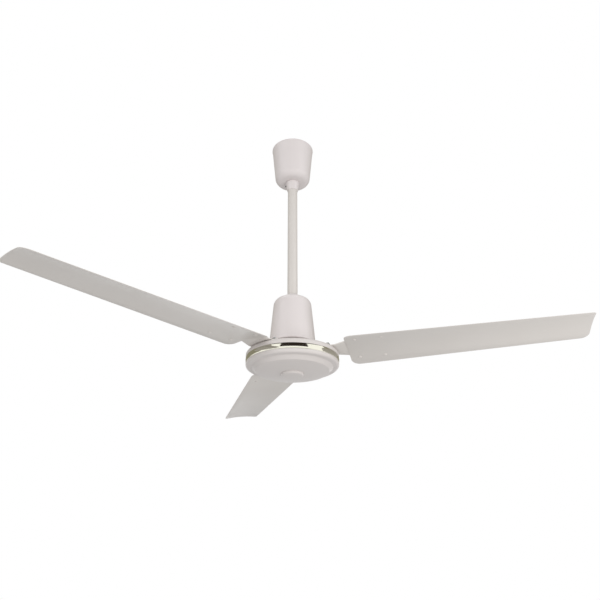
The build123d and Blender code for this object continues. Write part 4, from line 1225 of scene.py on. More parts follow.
@dataclass
class BladeSet(Assembly):
    """Three cambered blades on pressed arms, with their rivets and screws."""

    count: int = 3  # number of blades
    root: float = 140.2  # axis to the blade's root
    tip: float = 700.0  # axis to the blade's tip
    root_half: float = 74.5  # half the root's width
    tip_half: float = 56.75  # half the tip's width
    root_round: float = 21.0  # radius of the root's corners
    tip_rounds: tuple[float, float] = (8.0, 19.0)  # radii of the tip's leading and trailing corners
    thick: float = 1.0  # thickness of the sheet
    camber: float = 332.0  # radius of the blade's curve across
    pitch: float = 8.0  # degrees that the blade is turned about its length
    rise: float = 0.65  # degrees that the tip rises
    crown: float = -644.1  # height of the blade's crown at the axis
    arm_thick: float = 2.5  # thickness of the arm
    neck: float = 35.5  # half width of the arm's neck
    neck_strips: int = 5  # strips that each half of the neck is divided into
    palm_half: float = 56.0  # half width of the arm's palm
    palm_lead: float = 2.0  # how far the palm starts before the blade's root
    palm_round: float = 12.0  # radius of the palm's corners
    palm_end: float = 103.0  # blade's root to the palm's end
    palm_shoulder: float = 20.0  # blade's root to the palm's full width
    ledge: float = -645.0  # height of the housing's ledge
    foot_outer: float = 109.2  # outer radius of the arm's foot
    foot_inner: float = 78.0  # inner radius of the arm's foot
    foot_half: float = 27.0  # degrees from the arm's middle to the foot's end
    foot_lip: float = 5.0  # how far the foot's front edge stands out before the neck
    seat: float = 0.3  # gap between the palm and the blade
    screw_ring: float = 104.8  # radius of the ring of screws
    screw_angle: float = 21.0  # degrees from the arm's middle to a screw
    rivet_insets: tuple[float, float] = (24.0, 87.0)  # blade's root to the rivets
    rivet_edge: float = 11.0  # palm's side to the rivets

    def build(self) -> None:
        """Model one of each piece and place the copies."""
        blade, arm = self.blade(), self.arm()
        turns = ring_of(self.count)
        for index, turn in enumerate(turns, 1):
            self.place(self.copy(blade, f"blade_sheet_{index}", turn), f"blade_{index}")
            self.place(self.copy(arm, f"arm_plate_{index}", turn), f"blade_arm_{index}")
        bpy.data.objects.remove(blade)
        bpy.data.objects.remove(arm)
        rivets = [turn @ self.attitude() @ place for turn in turns for place in self.rivet_places()]
        self.place(self.repeat(self.rivet(), "blade_rivet_set", rivets), "blade_rivets")
        seat = moved(self.screw_ring, 0, self.ledge + self.arm_thick)
        angles = (self.screw_angle, -self.screw_angle)
        screws = [turn @ turned_by(angle, "Z") @ seat for turn in turns for angle in angles]
        self.place(self.repeat(self.screw(), "arm_screw_set", screws), "arm_screws")

    def attitude(self) -> Matrix:
        """Place of the blade's own frame: X out along the crown, Y across, Z square to the sheet."""
        return moved(up=self.crown) @ turned_by(-self.rise, "Y") @ turned_by(-self.pitch, "X")

    def curved(self, name: str, outline: Outline, strip: float, thick: float, lift: float) -> Piece:
        """Model a sheet that curves across the blade.

        Args:
            name: the piece's name.
            outline: its outline along and across the blade.
            strip: width of the strips that the curve is made of.
            thick: the sheet's thickness, 0 to leave it a surface.
            lift: the sheet's middle over the blade's middle.

        Returns:
            The sheet in the blade's frame.
        """
        radius = self.camber + lift
        corners = [Corner(*corner) for corner in outline]
        flat = [Corner(c.across, radius * asin(c.up / radius), c.round) for c in corners]
        piece = self.point(name)
        self.draw(flat)
        self.fill()
        self.strips(Vector((0, 0, 1)), strip, int(max(corner.up for corner in flat) / strip))
        bpy.ops.object.mode_set(mode="OBJECT")
        low, high = (pick(vert.co.z for vert in piece.data.vertices) for pick in (min, max))
        bend = (high - low) / (radius * MM)
        self.apply(piece, "SIMPLE_DEFORM", deform_method="BEND", deform_axis="X", angle=bend)
        self.settle(piece, moved(up=lift), turned_by(-90, "X"))
        if thick:
            self.apply(piece, "SOLIDIFY", thickness=thick * MM, offset=0.0)
            self.soften(piece, thick * 0.3, crease=50.0)
        return piece

    def blade(self) -> Piece:
        """One blade along +X, widest at the root.

        Returns:
            The blade, in its place.
        """
        leading, trailing = self.tip_rounds
        outline = (
            (self.root, -self.root_half, self.root_round), (self.tip, -self.tip_half, leading),
            (self.tip, self.tip_half, trailing), (self.root, self.root_half, self.root_round),
        )
        return self.settle(self.curved("blade_sheet", outline, 8.0, self.thick, 0.0), self.attitude())

    def arm(self) -> Piece:
        """One pressed arm along +X: flat foot, twisted neck and curved palm.

        Returns:
            The arm.
        """
        strip, lift = self.neck / self.neck_strips, self.thick / 2 + self.seat + self.arm_thick / 2
        start, shoulder, end = (self.root + x for x in (-self.palm_lead, self.palm_shoulder, self.palm_end))
        edge, rounding = -self.palm_half, self.palm_round
        outline = mirrored(((start, -self.neck), (shoulder, edge, rounding), (end, edge, rounding)))
        palm = self.settle(self.curved("arm_palm", outline, strip, 0, lift), self.attitude())
        arm = self.join("arm_plate", (palm, self.foot(strip)))
        bpy.ops.object.mode_set(mode="EDIT")
        level, near = self.ledge + self.arm_thick / 2, 0.05
        back = self.attitude().inverted()

        def at_gap(spot: Vector) -> bool:
            """Whether a point is on the foot's front edge or the palm's rear edge."""
            on_foot = abs(spot.x - self.foot_outer - self.foot_lip) < near and abs(spot.z - level) < near
            return on_foot or abs((back @ (spot * MM)).x / MM - start) < near

        self.pick(at_gap)
        bpy.ops.mesh.bridge_edge_loops(type="SINGLE", number_cuts=5, interpolation="LINEAR")
        self.finish(arm)
        self.apply(arm, "SOLIDIFY", thickness=self.arm_thick * MM, offset=0.0, use_even_offset=True)
        return self.soften(arm, 0.7, 3, 50.0)

    def foot(self, strip: float) -> Piece:
        """Flat foot of the arm as a surface, a sector with rounded ears.

        Args:
            strip: width of the strips that its front edge is divided into.

        Returns:
            The foot, at the arm's middle height.
        """
        outer, inner, ear = self.foot_outer, self.foot_inner, 4.5
        front, corner = outer + self.foot_lip, degrees(asin(self.neck / outer))
        outer_end, inner_end = self.foot_half - 5, self.foot_half - 6
        x, y = cos(radians(self.foot_half)), sin(radians(self.foot_half))
        outline = [
            (front, -self.neck), (front, self.neck),
            *arc(outer, corner, outer_end, 2), (outer * x, outer * y, ear),
            (inner * x, inner * y, ear), *arc(inner, inner_end, -inner_end, 12), (inner * x, -inner * y, ear),
            (outer * x, -outer * y, ear), *arc(outer, -outer_end, -corner, 2),
        ]
        piece = self.point("arm_foot")
        self.draw(outline, Plane.XY)
        self.fill()
        self.strips(Vector((0, 1, 0)), strip, self.neck_strips - 1)
        bpy.ops.object.mode_set(mode="OBJECT")
        return self.settle(piece, moved(up=self.ledge + self.arm_thick / 2))

    def rivet_places(self) -> list[Matrix]:
        """Places of a blade's rivets in the blade's frame, square to the curved sheet.

        Returns:
            One place for each rivet.
        """
        places = []
        for inset in self.rivet_insets:
            for side in (1, -1):
                angle = -degrees(side * (self.palm_half - self.rivet_edge) / self.camber)
                place = moved(self.root + inset, 0, -self.camber) @ turned_by(angle, "X")
                places.append(place @ moved(up=self.camber))
        return places

    def rivet(self) -> Piece:
        """Rivet along Z with a domed head on each side.

        Returns:
            One rivet.
        """
        under = -self.thick / 2 - CLEAR
        over = self.thick / 2 + self.seat + self.arm_thick + CLEAR
        head, shank = 4.5, 2.4
        section = (
            (0, under - 2), (2.6, under - 1.9, 4), (4.3, under - 0.9, 2), (head, under, 0.2), (shank, under),
            (shank, over), (head, over, 0.2), (4.3, over + 0.9, 2), (2.6, over + 1.9, 4), (0, over + 2),
        )
        return self.turned("rivet", section, 32, 50.0)

    def screw(self) -> Piece:
        """Pan-head screw with a cross recess, standing on a washer at height 0.

        Returns:
            One screw with its washer.
        """
        length, shank, washer, thick, head, top = 33.8, 2.5, 5.6, 1.0, 4.5, 5.0
        section = (
            (0, -length), (2.3, -length, 0.6), (shank, -0.2), (shank, 0), (washer, 0, 0.2),
            (washer, thick, 0.3), (head, thick), (head, 2.4, 1.2), (3.4, 4.4, 3.0), (0, top),
        )
        screw = self.turned("arm_screw", section, 40)
        for turn in (0, 90):
            self.notch(screw, ((-2.3, 2.6), (2.3, 2.6), (2.9, 5.5), (-2.9, 5.5)), 0.9, turn)
        return screw


@dataclass
class HangerSet(Assembly):
    """Ceiling plate, hook, roller, shackle, downrod and what holds them together."""

    plate: float = 74.0  # side of the ceiling plate
    plate_thick: float = 3.0  # its thickness
    spacing: float = 54.0  # distance between its screw holes
    boss_foot: float = -12.0  # height of the boss's underside
    hook_wire: float = 10.0  # diameter of the hook's bar
    hook_bends: tuple[float, float] = (-23.5, -36.0)  # heights of the offset's two corners
    hook_end: float = -44.0  # height of the hook's straight end
    axis: float = -50.0  # height of the shackle bolt
    reach: float = 16.3  # radius of the hook's half turn
    waist: float = 11.0  # radius of the roller's groove
    flange: float = 17.0  # radius of the roller's flanges
    roller_half: float = 13.8  # half the roller's length
    bush: float = 6.0  # outer radius of the bush
    ear_half: float = 18.5  # half the distance over the shackle's ears
    ear: float = 4.0  # thickness of the ears
    ear_width: float = 26.0  # width of the ears
    web_top: float = -76.0  # height of the web's upper face
    rod_top: float = -82.0  # height of the rod's top
    rod_foot: float = -547.0  # height of the rod's foot
    socket: float = 18.0  # radius of the socket
    socket_foot: float = -112.0  # height of the socket's foot
    rod: float = 13.35  # radius of the rod
    rod_bore: float = 10.75  # radius of the rod's bore
    cross: tuple[float, float] = (-96.0, -533.0)  # heights of the two bolts across the rod
    grip: float = 16.5  # half the distance between a socket's flats
    shackle_bolt: tuple[float, float] = (48.5, 46.0)  # head to the end and to the split pin of the M8 bolt
    rod_bolt: tuple[float, float] = (43.0, 40.5)  # head to the end and to the split pin of the M6 bolts
    block_depth: float = 13.0  # socket to the terminal block's front
    block_screw: float = 1.5  # radius of the screw through the block
    ways: tuple[float, ...] = (-8.0, 0.0, 8.0)  # middles of the block's ways across it
    wells: tuple[float, ...] = (5.0, -5.0)  # block's middle to the two screw wells of a way

    def build(self) -> None:
        """Model and place the pieces."""
        self.place(self.ceiling_plate(), "ceiling_plate")
        self.place(self.hook(), "hanging_hook")
        lock = self.nut("hook_lock", Metric.M10)
        self.place(self.settle(lock, moved(up=self.boss_foot - 6.0)), "hook_lock_nut")
        self.place(self.roller(), "rubber_roller")
        self.place(self.bush_tube(), "roller_bush")
        self.place(self.shackle(), "rod_shackle")
        self.place(self.rod_tube(), "downrod")
        self.fasteners()
        self.place(self.terminals(), "terminal_block")
        self.place(self.terminal_screw(), "terminal_screw")
        self.dressing.add(self.clamp_screws(), "hanger", Slot.ZINC)

    @property
    def block_middle(self) -> float:
        """Height of the terminal block's middle, halfway down the socket."""
        return (self.rod_top + self.socket_foot) / 2

    def on_axis(self) -> Matrix:
        """Place that turns a piece made along Z onto the shackle bolt's axis, along X."""
        return moved(up=self.axis) @ turned_by(90, "Y")

    def ceiling_plate(self) -> Piece:
        """Square plate with countersunk holes and a welded boss.

        Returns:
            The plate with its boss.
        """
        half, foot, gap = self.plate / 2, -self.plate_thick, self.spacing / 2
        hole, sink, boss, bore = 3.2, 5.2, 11.0, Metric.M10.hole
        slab = self.slab("mount_plate", box(-half, -half, half, half, 8.0), self.plate_thick)
        plate = self.soften(self.settle(slab, moved(up=foot)), 0.5)
        section = ((0, foot - 1), (sink, foot - 1), (sink, foot), (hole, foot + 1.8), (hole, 1), (0, 1))
        for spot in box(-gap, -gap, gap, gap):
            self.cut(plate, self.settle(self.turned("sink", section, 36), moved(spot.across, spot.up)))
        weld = (
            (bore, foot), (14.0, foot, 0.6), (12.6, foot - 1.9, 1.4), (boss, foot - 2.9, 0.4),
            (boss, self.boss_foot, 0.8), (bore, self.boss_foot, 0.5),
        )
        return self.join("mount_plate", (plate, self.turned("mount_boss", weld, 64)))

    def hook(self) -> Piece:
        """Bent bar with its offset, its half turn under the roller and a rounded end.

        Returns:
            The hook.
        """
        lowest = self.axis - self.reach
        line = (
            (0, -self.plate_thick), (0, self.hook_bends[0], 10), (-self.reach, self.hook_bends[1], 10),
            (-self.reach, lowest, self.reach - 0.01), (self.reach, lowest, self.reach - 0.01),
            (self.reach, self.hook_end),
        )
        bar = self.wire("hook_bar", line, self.hook_wire, Plane.YZ)
        radius = self.hook_wire / 2
        dome = ((0, -0.4), (radius, -0.4), (radius, radius, radius - 0.01), (0, radius))
        tip = self.settle(self.turned("hook_tip", dome, 32), moved(0, self.reach, self.hook_end))
        return self.join("hook_bar", (bar, tip))

    def roller(self) -> Piece:
        """Grooved rubber roller with a ring on each face.

        Returns:
            The roller.
        """
        half, mouth, floor = self.roller_half, self.roller_half - 2.3, self.hook_wire / 2 + 0.6
        bore, inner, outer, sunk = self.bush + CLEAR, 9.0, 15.0, 0.8 - half
        section = (
            (bore, -half), (inner, -half), (inner + 0.6, sunk), (outer - 0.6, sunk), (outer, -half),
            (self.flange, -half, 1.0), (self.flange, -mouth, 1.0), (self.waist, -floor, 1.6),
        )
        return self.settle(self.turned("grooved_roller", mirrored(section), 72), self.on_axis())

    def bush_tube(self) -> Piece:
        """Steel bush with broken edges.

        Returns:
            The bush.
        """
        half, inner, outer, edge = 14.2, Metric.M8.hole, self.bush, 0.4
        section = ((inner, edge - half), (inner + edge, -half), (outer - edge, -half), (outer, edge - half))
        return self.settle(self.turned("bush_tube", mirrored(section), 48), self.on_axis())

    def shackle(self) -> Piece:
        """Bent strap with two round-ended ears, welded to a socket for the rod.

        Returns:
            The shackle.
        """
        half, gap, width = self.ear_half, self.ear_half - self.ear, self.ear_width / 2
        crown = self.axis + width
        outline = (
            (-half, crown), (-half, self.rod_top, 7), (half, self.rod_top, 7), (half, crown), (gap, crown),
            (gap, self.web_top, 3), (-gap, self.web_top, 3), (-gap, crown),
        )
        strap = self.slab("shackle_strap", outline, self.ear_width, Plane.XZ)
        self.settle(strap, moved(along=width))
        ears = (
            (-width, self.rod_top - 1), (width, self.rod_top - 1), (width, crown, width - 0.02),
            (-width, crown, width - 0.02),
        )
        tool = self.settle(self.slab("ear_shape", ears, 60.0, Plane.YZ), moved(-30.0))
        self.cut(strap, tool, "INTERSECT")
        self.bore(strap, self.on_axis(), Metric.M8.hole, -30, 30)
        self.soften(strap, 0.6)
        bore, foot = self.rod + CLEAR, self.socket_foot
        section = (
            (bore, self.rod_top), (self.socket + 2.2, self.rod_top, 1.0),
            (self.socket, self.rod_top - 3.0, 1.2), (self.socket, foot + 2), (self.socket - 2, foot, 0.4),
            (bore, foot),
        )
        socket = self.turned("shackle_socket", section, 96)
        self.cross_hole(socket, self.cross[0], self.grip)
        self.bore(socket, moved(up=self.block_middle) @ turned_by(90, "Y"), self.block_screw + CLEAR, 14, 40)
        return self.join("shackle_forging", (strap, socket))

    def rod_tube(self) -> Piece:
        """Drawn steel tube with broken edges and two cross holes.

        Returns:
            The rod.
        """
        inner, outer, edge = self.rod_bore, self.rod, 0.5
        section = (
            (inner, self.rod_top - edge), (inner + edge, self.rod_top), (outer - edge, self.rod_top),
            (outer, self.rod_top - edge), (outer, self.rod_foot + edge), (outer - edge, self.rod_foot),
            (inner + edge, self.rod_foot), (inner, self.rod_foot + edge),
        )
        tube = self.turned("rod_tube", section, 96)
        for height in self.cross:
            self.bore(tube, moved(up=height) @ turned_by(90, "X"), Metric.M6.hole, -30, 30)
        return tube

    def fasteners(self) -> None:
        """Bolts, nuts and split pins of the shackle and the rod."""
        faces = (-self.ear_half, self.ear_half)
        start, end = (moved(face, 0, self.axis) @ turned_by(90, "Y") for face in faces)
        bolt = self.pinned("shackle_bolt_m8", Metric.M8, *self.shackle_bolt)
        self.place(self.settle(bolt, start), "shackle_bolt")
        self.place(self.settle(self.nut("shackle_nut_m8", Metric.M8), end), "shackle_nut")
        starts, ends = (
            [moved(0, face, height) @ turned_by(-90, "X") for height in self.cross]
            for face in (-self.grip, self.grip)
        )
        bolt = self.pinned("rod_bolt_m6", Metric.M6, *self.rod_bolt)
        self.place(self.repeat(bolt, "rod_bolts_m6", starts), "rod_bolts")
        self.place(self.repeat(self.nut("rod_nut_m6", Metric.M6), "rod_nuts_m6", ends), "rod_bolt_nuts")
        pins = [moved(self.shackle_bolt[1] - self.ear_half, 0, self.axis)]
        pins += [moved(0, self.rod_bolt[1] - self.grip, height) @ turned_by(90, "X") for height in self.cross]
        self.place(self.repeat(self.split_pin(), "split_pin_set", pins), "split_pins")

    def pinned(self, name: str, size: Metric, reach: float, pin: float) -> Piece:
        """Bolt with a hole across its end for a split pin."""
        return self.bore(self.bolt(name, size, reach), moved(up=pin) @ turned_by(90, "X"), 1.0, -8, 8)

    def split_pin(self) -> Piece:
        """Split pin along Y: one wire bent back on itself round an eye, its ends spread."""
        line = ((12.6, 2.55), (8.0, 0.45, 1.6), (-7.4, 0.45, 0.9), (-8.4, 2.2, 1.2), (-11.9, 2.2, 1.7))
        return self.wire("split_pin", mirrored(line), 0.86, Plane.YZ)

    def terminals(self) -> Piece:
        """Moulded block with a hollow back, ribs between its ways, wells and wire holes.

        Returns:
            The block.
        """
        middle, front, half, tall = self.block_middle, self.socket + self.block_depth, 13.0, 20.0
        reach, level, out = self.socket + CLEAR, self.socket + 7.8, turned_by(90, "Y")
        hole, well, back = 2.0, 2.3, front - 1.6
        limit = degrees(asin(half / reach))
        outline = [*arc(reach, limit, -limit, 10), (front, -half, 1.0)]
        for rib in (-4.0, 4.0):
            low, high = rib - 0.6, rib + 0.6
            outline += [(front, low), (back, low), (back, high), (front, high)]
        outline += [(front, half, 1.0)]
        block = self.settle(self.slab("terminal_body", outline, tall), moved(up=middle - tall / 2))
        self.soften(block, 0.35)
        for way in self.ways:
            self.bore(block, moved(level, way, middle), hole, -11, 11)
            for side in self.wells:
                self.bore(block, moved(level, way, middle + side) @ out, well, 0, 8)
        return self.bore(block, moved(up=middle) @ out, self.block_screw + CLEAR, 14, 34)

    def slotted(self, name: str, head: float, height: float, shank: float, length: float) -> Piece:
        """Slotted cheese-head screw whose head stands on height 0.

        Args:
            name: the piece's name.
            head: radius of the head.
            height: height of the head.
            shank: radius of the shank.
            length: length of the shank.

        Returns:
            The screw, along Z.
        """
        section = (
            (0, -length), (shank * 0.7, -length), (shank, 0.4 - length), (shank, 0), (head, 0, 0.2),
            (head, height * 0.75, 0.3), (head * 0.75, height), (0, height),
        )
        screw = self.turned(name, section, 32)
        return self.notch(screw, box(-head - 1, height * 0.4, head + 1, height + 1), head * 0.3)

    def terminal_screw(self) -> Piece:
        """Screw through the block's middle into the socket.

        Returns:
            The screw, in its place.
        """
        screw = self.slotted("block_screw", 2.7, 1.5, self.block_screw, 16.0)
        face = moved(self.socket + self.block_depth, 0, self.block_middle)
        return self.settle(screw, face @ turned_by(90, "Y") @ turned_by(30, "Z"))

    def clamp_screws(self) -> Piece:
        """Six small screws in the block's wells.

        Returns:
            All of them, as one piece.
        """
        level, middle, out = self.socket + 8.2, self.block_middle, turned_by(90, "Y")
        spots = [moved(level, way, middle + side) @ out for way in self.ways for side in self.wells]
        places = [spot @ turned_by(17 * index, "Z") for index, spot in enumerate(spots)]
        return self.repeat(self.slotted("clamp", 2.1, 1.8, 1.2, 0.4), "terminal_clamp_screws", places)


@dataclass
class DriveSet(Assembly):
    """What the bell covers: yoke, grub screws, capacitor and its band."""

    top: float = -505.0  # height of the yoke's top
    rod_foot: float = -547.0  # height of the rod's foot
    shaft_top: float = -552.0  # height of the shaft's top
    foot: float = -580.0  # height of the yoke's foot
    outer: float = 18.0  # radius of the yoke
    rod_bore: float = 13.4  # radius of the bore for the rod
    shaft_bore: float = 10.05  # radius of the bore for the shaft
    neck: float = 15.5  # radius of the yoke's neck
    leads: float = 5.0  # radius of the way for the leads
    bolt_height: float = -533.0  # height of the bolt across the rod
    grip: float = 16.5  # half the distance between the flats
    # height and start radius of the grub screws
    grubs: tuple[tuple[float, float], ...] = ((-519.0, 13.4), (-569.0, 10.05))
    grub_radius: float = 3.0  # radius of the grub screws
    case_depth: float = 24.1  # depth of the capacitor
    case_width: float = 34.0  # width of the capacitor
    case_top: float = -515.0  # height of its top
    case_foot: float = -555.0  # height of its foot
    case_centre: float = 30.35  # distance from the axis to its centre
    band_middle: float = -547.5  # middle height of the band
    band_width: float = 9.0  # width of the band

    def build(self) -> None:
        """Model and place the pieces."""
        self.place(self.yoke(), "motor_yoke")
        self.place(self.repeat(self.grub(), "grub_screw_set", self.grub_places()), "grub_screws")
        self.place(self.case(), "capacitor")
        self.place(self.band(), "capacitor_band")
        self.dressing.add(self.tabs(), "hanger", Slot.ZINC)

    def yoke(self) -> Piece:
        """Forged sleeve with flats under the bolt and threaded holes for the grub screws.

        Returns:
            The yoke.
        """
        outer, slope = self.outer, self.outer - self.neck
        section = (
            (self.leads, self.rod_foot), (self.rod_bore, self.rod_foot), (self.rod_bore, self.top, 0.6),
            (outer - 2, self.top, 0.8), (outer, self.top - 2, 0.8), (outer, self.shaft_top, 2.5),
            (self.neck, self.shaft_top - slope, 2.5), (self.neck, self.foot, 1.2),
            (self.shaft_bore, self.foot, 0.5), (self.shaft_bore, self.shaft_top),
            (self.leads, self.shaft_top),
        )
        yoke = self.turned("yoke_forging", section, 96)
        self.cross_hole(yoke, self.bolt_height, self.grip)
        for place in self.grub_places():
            tap = self.turned("tap", ((0, -2), *thread(self.grub_radius + 0.1, -2, 12, 1.0), (0, 12)), 36)
            self.cut(yoke, self.settle(tap, place))
        return yoke

    def grub_places(self) -> list[Matrix]:
        """Places of the grub screws, pointing out of the yoke."""
        return [moved(-start, 0, height) @ turned_by(-90, "Y") for height, start in self.grubs]

    def grub(self) -> Piece:
        """Headless screw along Z with a hexagon socket.

        Returns:
            One screw.
        """
        length, key, key_foot = 5.6, 3.0, 2.8
        section = (
            (0, 0), (1.8, 0), *thread(self.grub_radius, 0.7, length - 0.4, 1.0), (2.5, length), (0, length),
        )
        screw = self.turned("grub_screw", section, 36)
        return self.cut(screw, self.settle(self.hexagon("key", key, 5.0), moved(up=key_foot)))

    def case(self) -> Piece:
        """Moulded case with softened edges, a sunk resin face and two grooves down its outer side.

        Returns:
            The case.
        """
        half, width, tall = self.case_depth / 2, self.case_width / 2, self.case_top - self.case_foot
        rim, sink, groove_half = 1.6, 1.5, 0.8
        case = self.slab("capacitor_case", box(-half, -width, half, width, 3.0), tall)
        self.soften(case, 0.8, 3)
        sunk = self.slab("sunk_face", box(rim - half, rim - width, half - rim, width - rim, 1.8), 4.0)
        self.cut(case, self.settle(sunk, moved(up=tall - sink)))
        for middle in (8, -8):
            outline = box(half - 0.7, middle - groove_half, half + 1, middle + groove_half)
            self.cut(case, self.settle(self.slab("groove", outline, 50.0), moved(up=-3)))
        return self.settle(case, moved(self.case_centre, 0, self.case_foot))

    def tabs(self) -> Piece:
        """Two pairs of flat push-on tabs in the capacitor's top.

        Returns:
            All of them, as one piece.
        """
        half, cheek, tip, thick, eye, eye_height = 3.1, 6.2, 7.6, 0.8, 0.8, 4.6
        outline = ((-half, 0), (half, 0), (half, cheek), (half - 1, tip), (1 - half, tip), (-half, cheek))
        tab = self.settle(self.slab("tab", outline, thick, Plane.YZ), moved(-thick / 2))
        self.cut(tab, self.settle(self.drill(eye, -2, 2, 20), moved(up=eye_height) @ turned_by(90, "Y")))
        base = self.case_top - 1.6
        spots = [moved(self.case_centre + x, y, base) for x in (-4.0, 4.0) for y in (-8.0, 8.0)]
        return self.repeat(tab, "capacitor_tabs", spots)

    def band(self) -> Piece:
        """Steel strap round the yoke and the capacitor, with softened edges.

        Returns:
            The band.
        """
        front, half = self.case_centre + self.case_depth / 2 + CLEAR, self.case_width / 2 + CLEAR
        back = arc(self.outer + CLEAR, 90, 270, 18)
        piece = self.point("capacitor_strap")
        self.draw([*back, (front, -half, 3.05), (front, half, 3.05)], Plane.XY)
        self.pull(Vector((0, 0, 1)), self.band_width)
        self.finish(piece)
        self.apply(piece, "SOLIDIFY", thickness=1.0 * MM, offset=1.0, use_even_offset=True)
        self.soften(piece, 0.25)
        return self.settle(piece, moved(up=self.band_middle - self.band_width / 2))


@dataclass
class Winding(Assembly):
    """Twelve coils wound wire by wire round the stator's teeth."""

    coils: int = 12  # number of coils
    inner: float = 50.0  # axis to the coils' inner ends
    depth: float = 19.0  # length of a coil along its tooth
    across: float = 13.8  # width of the window
    tall: float = 25.0  # height of the window
    thick: float = 5.0  # thickness of the winding
    rise: float = 38.2  # height over the whole coil
    middle: float = -666.6  # middle height of the stack
    gauge: float = 1.15  # diameter of the wire

    def build(self) -> None:
        """Wind one coil and place the copies."""
        coil = self.coil()
        places = [turn @ moved(self.inner, 0, self.middle) for turn in ring_of(self.coils)]
        self.place(self.repeat(coil, "wound_coils", places), "stator_coils")

    def turn(self, reach: float, along: float) -> Piece:
        """One turn of wire.

        Args:
            reach: distance from the window to the wire's middle.
            along: distance from the coil's inner end.

        Returns:
            The turn, round the X axis.
        """
        share = reach / self.thick
        half = self.across / 2 + reach
        high = self.tall / 2 + (self.rise - self.tall) / 2 * share
        line = box(-half, -high, half, high, 0.8 + 2.4 * share)
        return self.settle(self.wire("turn", line, self.gauge, Plane.YZ, closed=True), moved(along))

    def coil(self) -> Piece:
        """Block of the winding with its outer layer and both end faces wound wire by wire.

        Returns:
            One coil.
        """
        gap, length = self.gauge * 0.5, self.depth - self.gauge
        count = int(length / (self.gauge * 1.03))
        turns = [self.turn(self.thick - gap, gap + length / count * index) for index in range(count + 1)]
        layer = self.thick - gap - self.gauge
        while layer > gap:
            turns += [self.turn(layer, gap), self.turn(layer, self.depth - gap)]
            layer -= self.gauge
        half, high = self.across / 2, self.tall / 2
        wide, top = half + self.thick - self.gauge, high + self.thick - self.gauge + 1.0
        core = self.slab("coil_core", box(-wide, -top, wide, top, 2.4), length, Plane.YZ)
        window = self.slab("window", box(-half, -high, half, high), 40.0, Plane.YZ)
        self.cut(core, self.settle(window, moved(-10)))
        self.settle(core, moved(self.gauge / 2))
        return self.join("wound_coil", (core, *turns))


@dataclass
class BearingCages(Assembly):
    """Pressed cages that space the balls of the two bearings."""

    balls: int = 7  # number of balls in a bearing
    # name, pitch radius, middle height and ball diameter of each bearing
    sizes: tuple[tuple[str, float, float, float], ...] = (
        ("upper_ball_cage", 16.75, -632.3, 7.9),
        ("lower_ball_cage", 12.5, -693.0, 6.0),
    )

    def build(self) -> None:
        """Model and place both cages."""
        for name, pitch, middle, ball in self.sizes:
            self.dressing.add(self.cage(name, pitch, middle, ball), "rotor", Slot.BUSH_STEEL)

    def cage(self, name: str, pitch: float, middle: float, ball: float) -> Piece:
        """One thin ring with a pocket for each ball.

        Args:
            name: the piece's name.
            pitch: radius of the circle of balls.
            middle: middle height of the bearing.
            ball: diameter of a ball.

        Returns:
            The cage.
        """
        half = ball * 0.36
        section = (
            (pitch - 0.5, middle - half), (pitch + 0.5, middle - half, 0.2),
            (pitch + 0.5, middle + half, 0.2), (pitch - 0.5, middle + half),
        )
        ring = self.turned(name, section, 84)
        for turn in ring_of(self.balls):
            place = turn @ moved(pitch, 0, middle) @ turned_by(90, "Y")
            self.cut(ring, self.settle(self.drill(ball / 2 + 0.12, -3, 3, 24), place))
        return ring


@dataclass(frozen=True)
class Panel:
    """Soft square lamp that faces the fan."""

    name: str  # the lamp's name
    place: Point  # its centre
    size: float  # its side in metres
    power: float  # its power in watts


@dataclass(frozen=True)
class Card:
    """Upright curved card that glows though it is no lamp and only reflections see: a painted reflection in
    polished metal.
    """

    name: str  # the card's name
    turns: tuple[float, float]  # where it starts and ends, in degrees round the fan from +X
    heights: tuple[float, float]  # its lowest and highest height over the bright band, in metres
    reach: float  # its distance from the axis in metres
    tone: Point  # its linear glow colour, which only reflections show
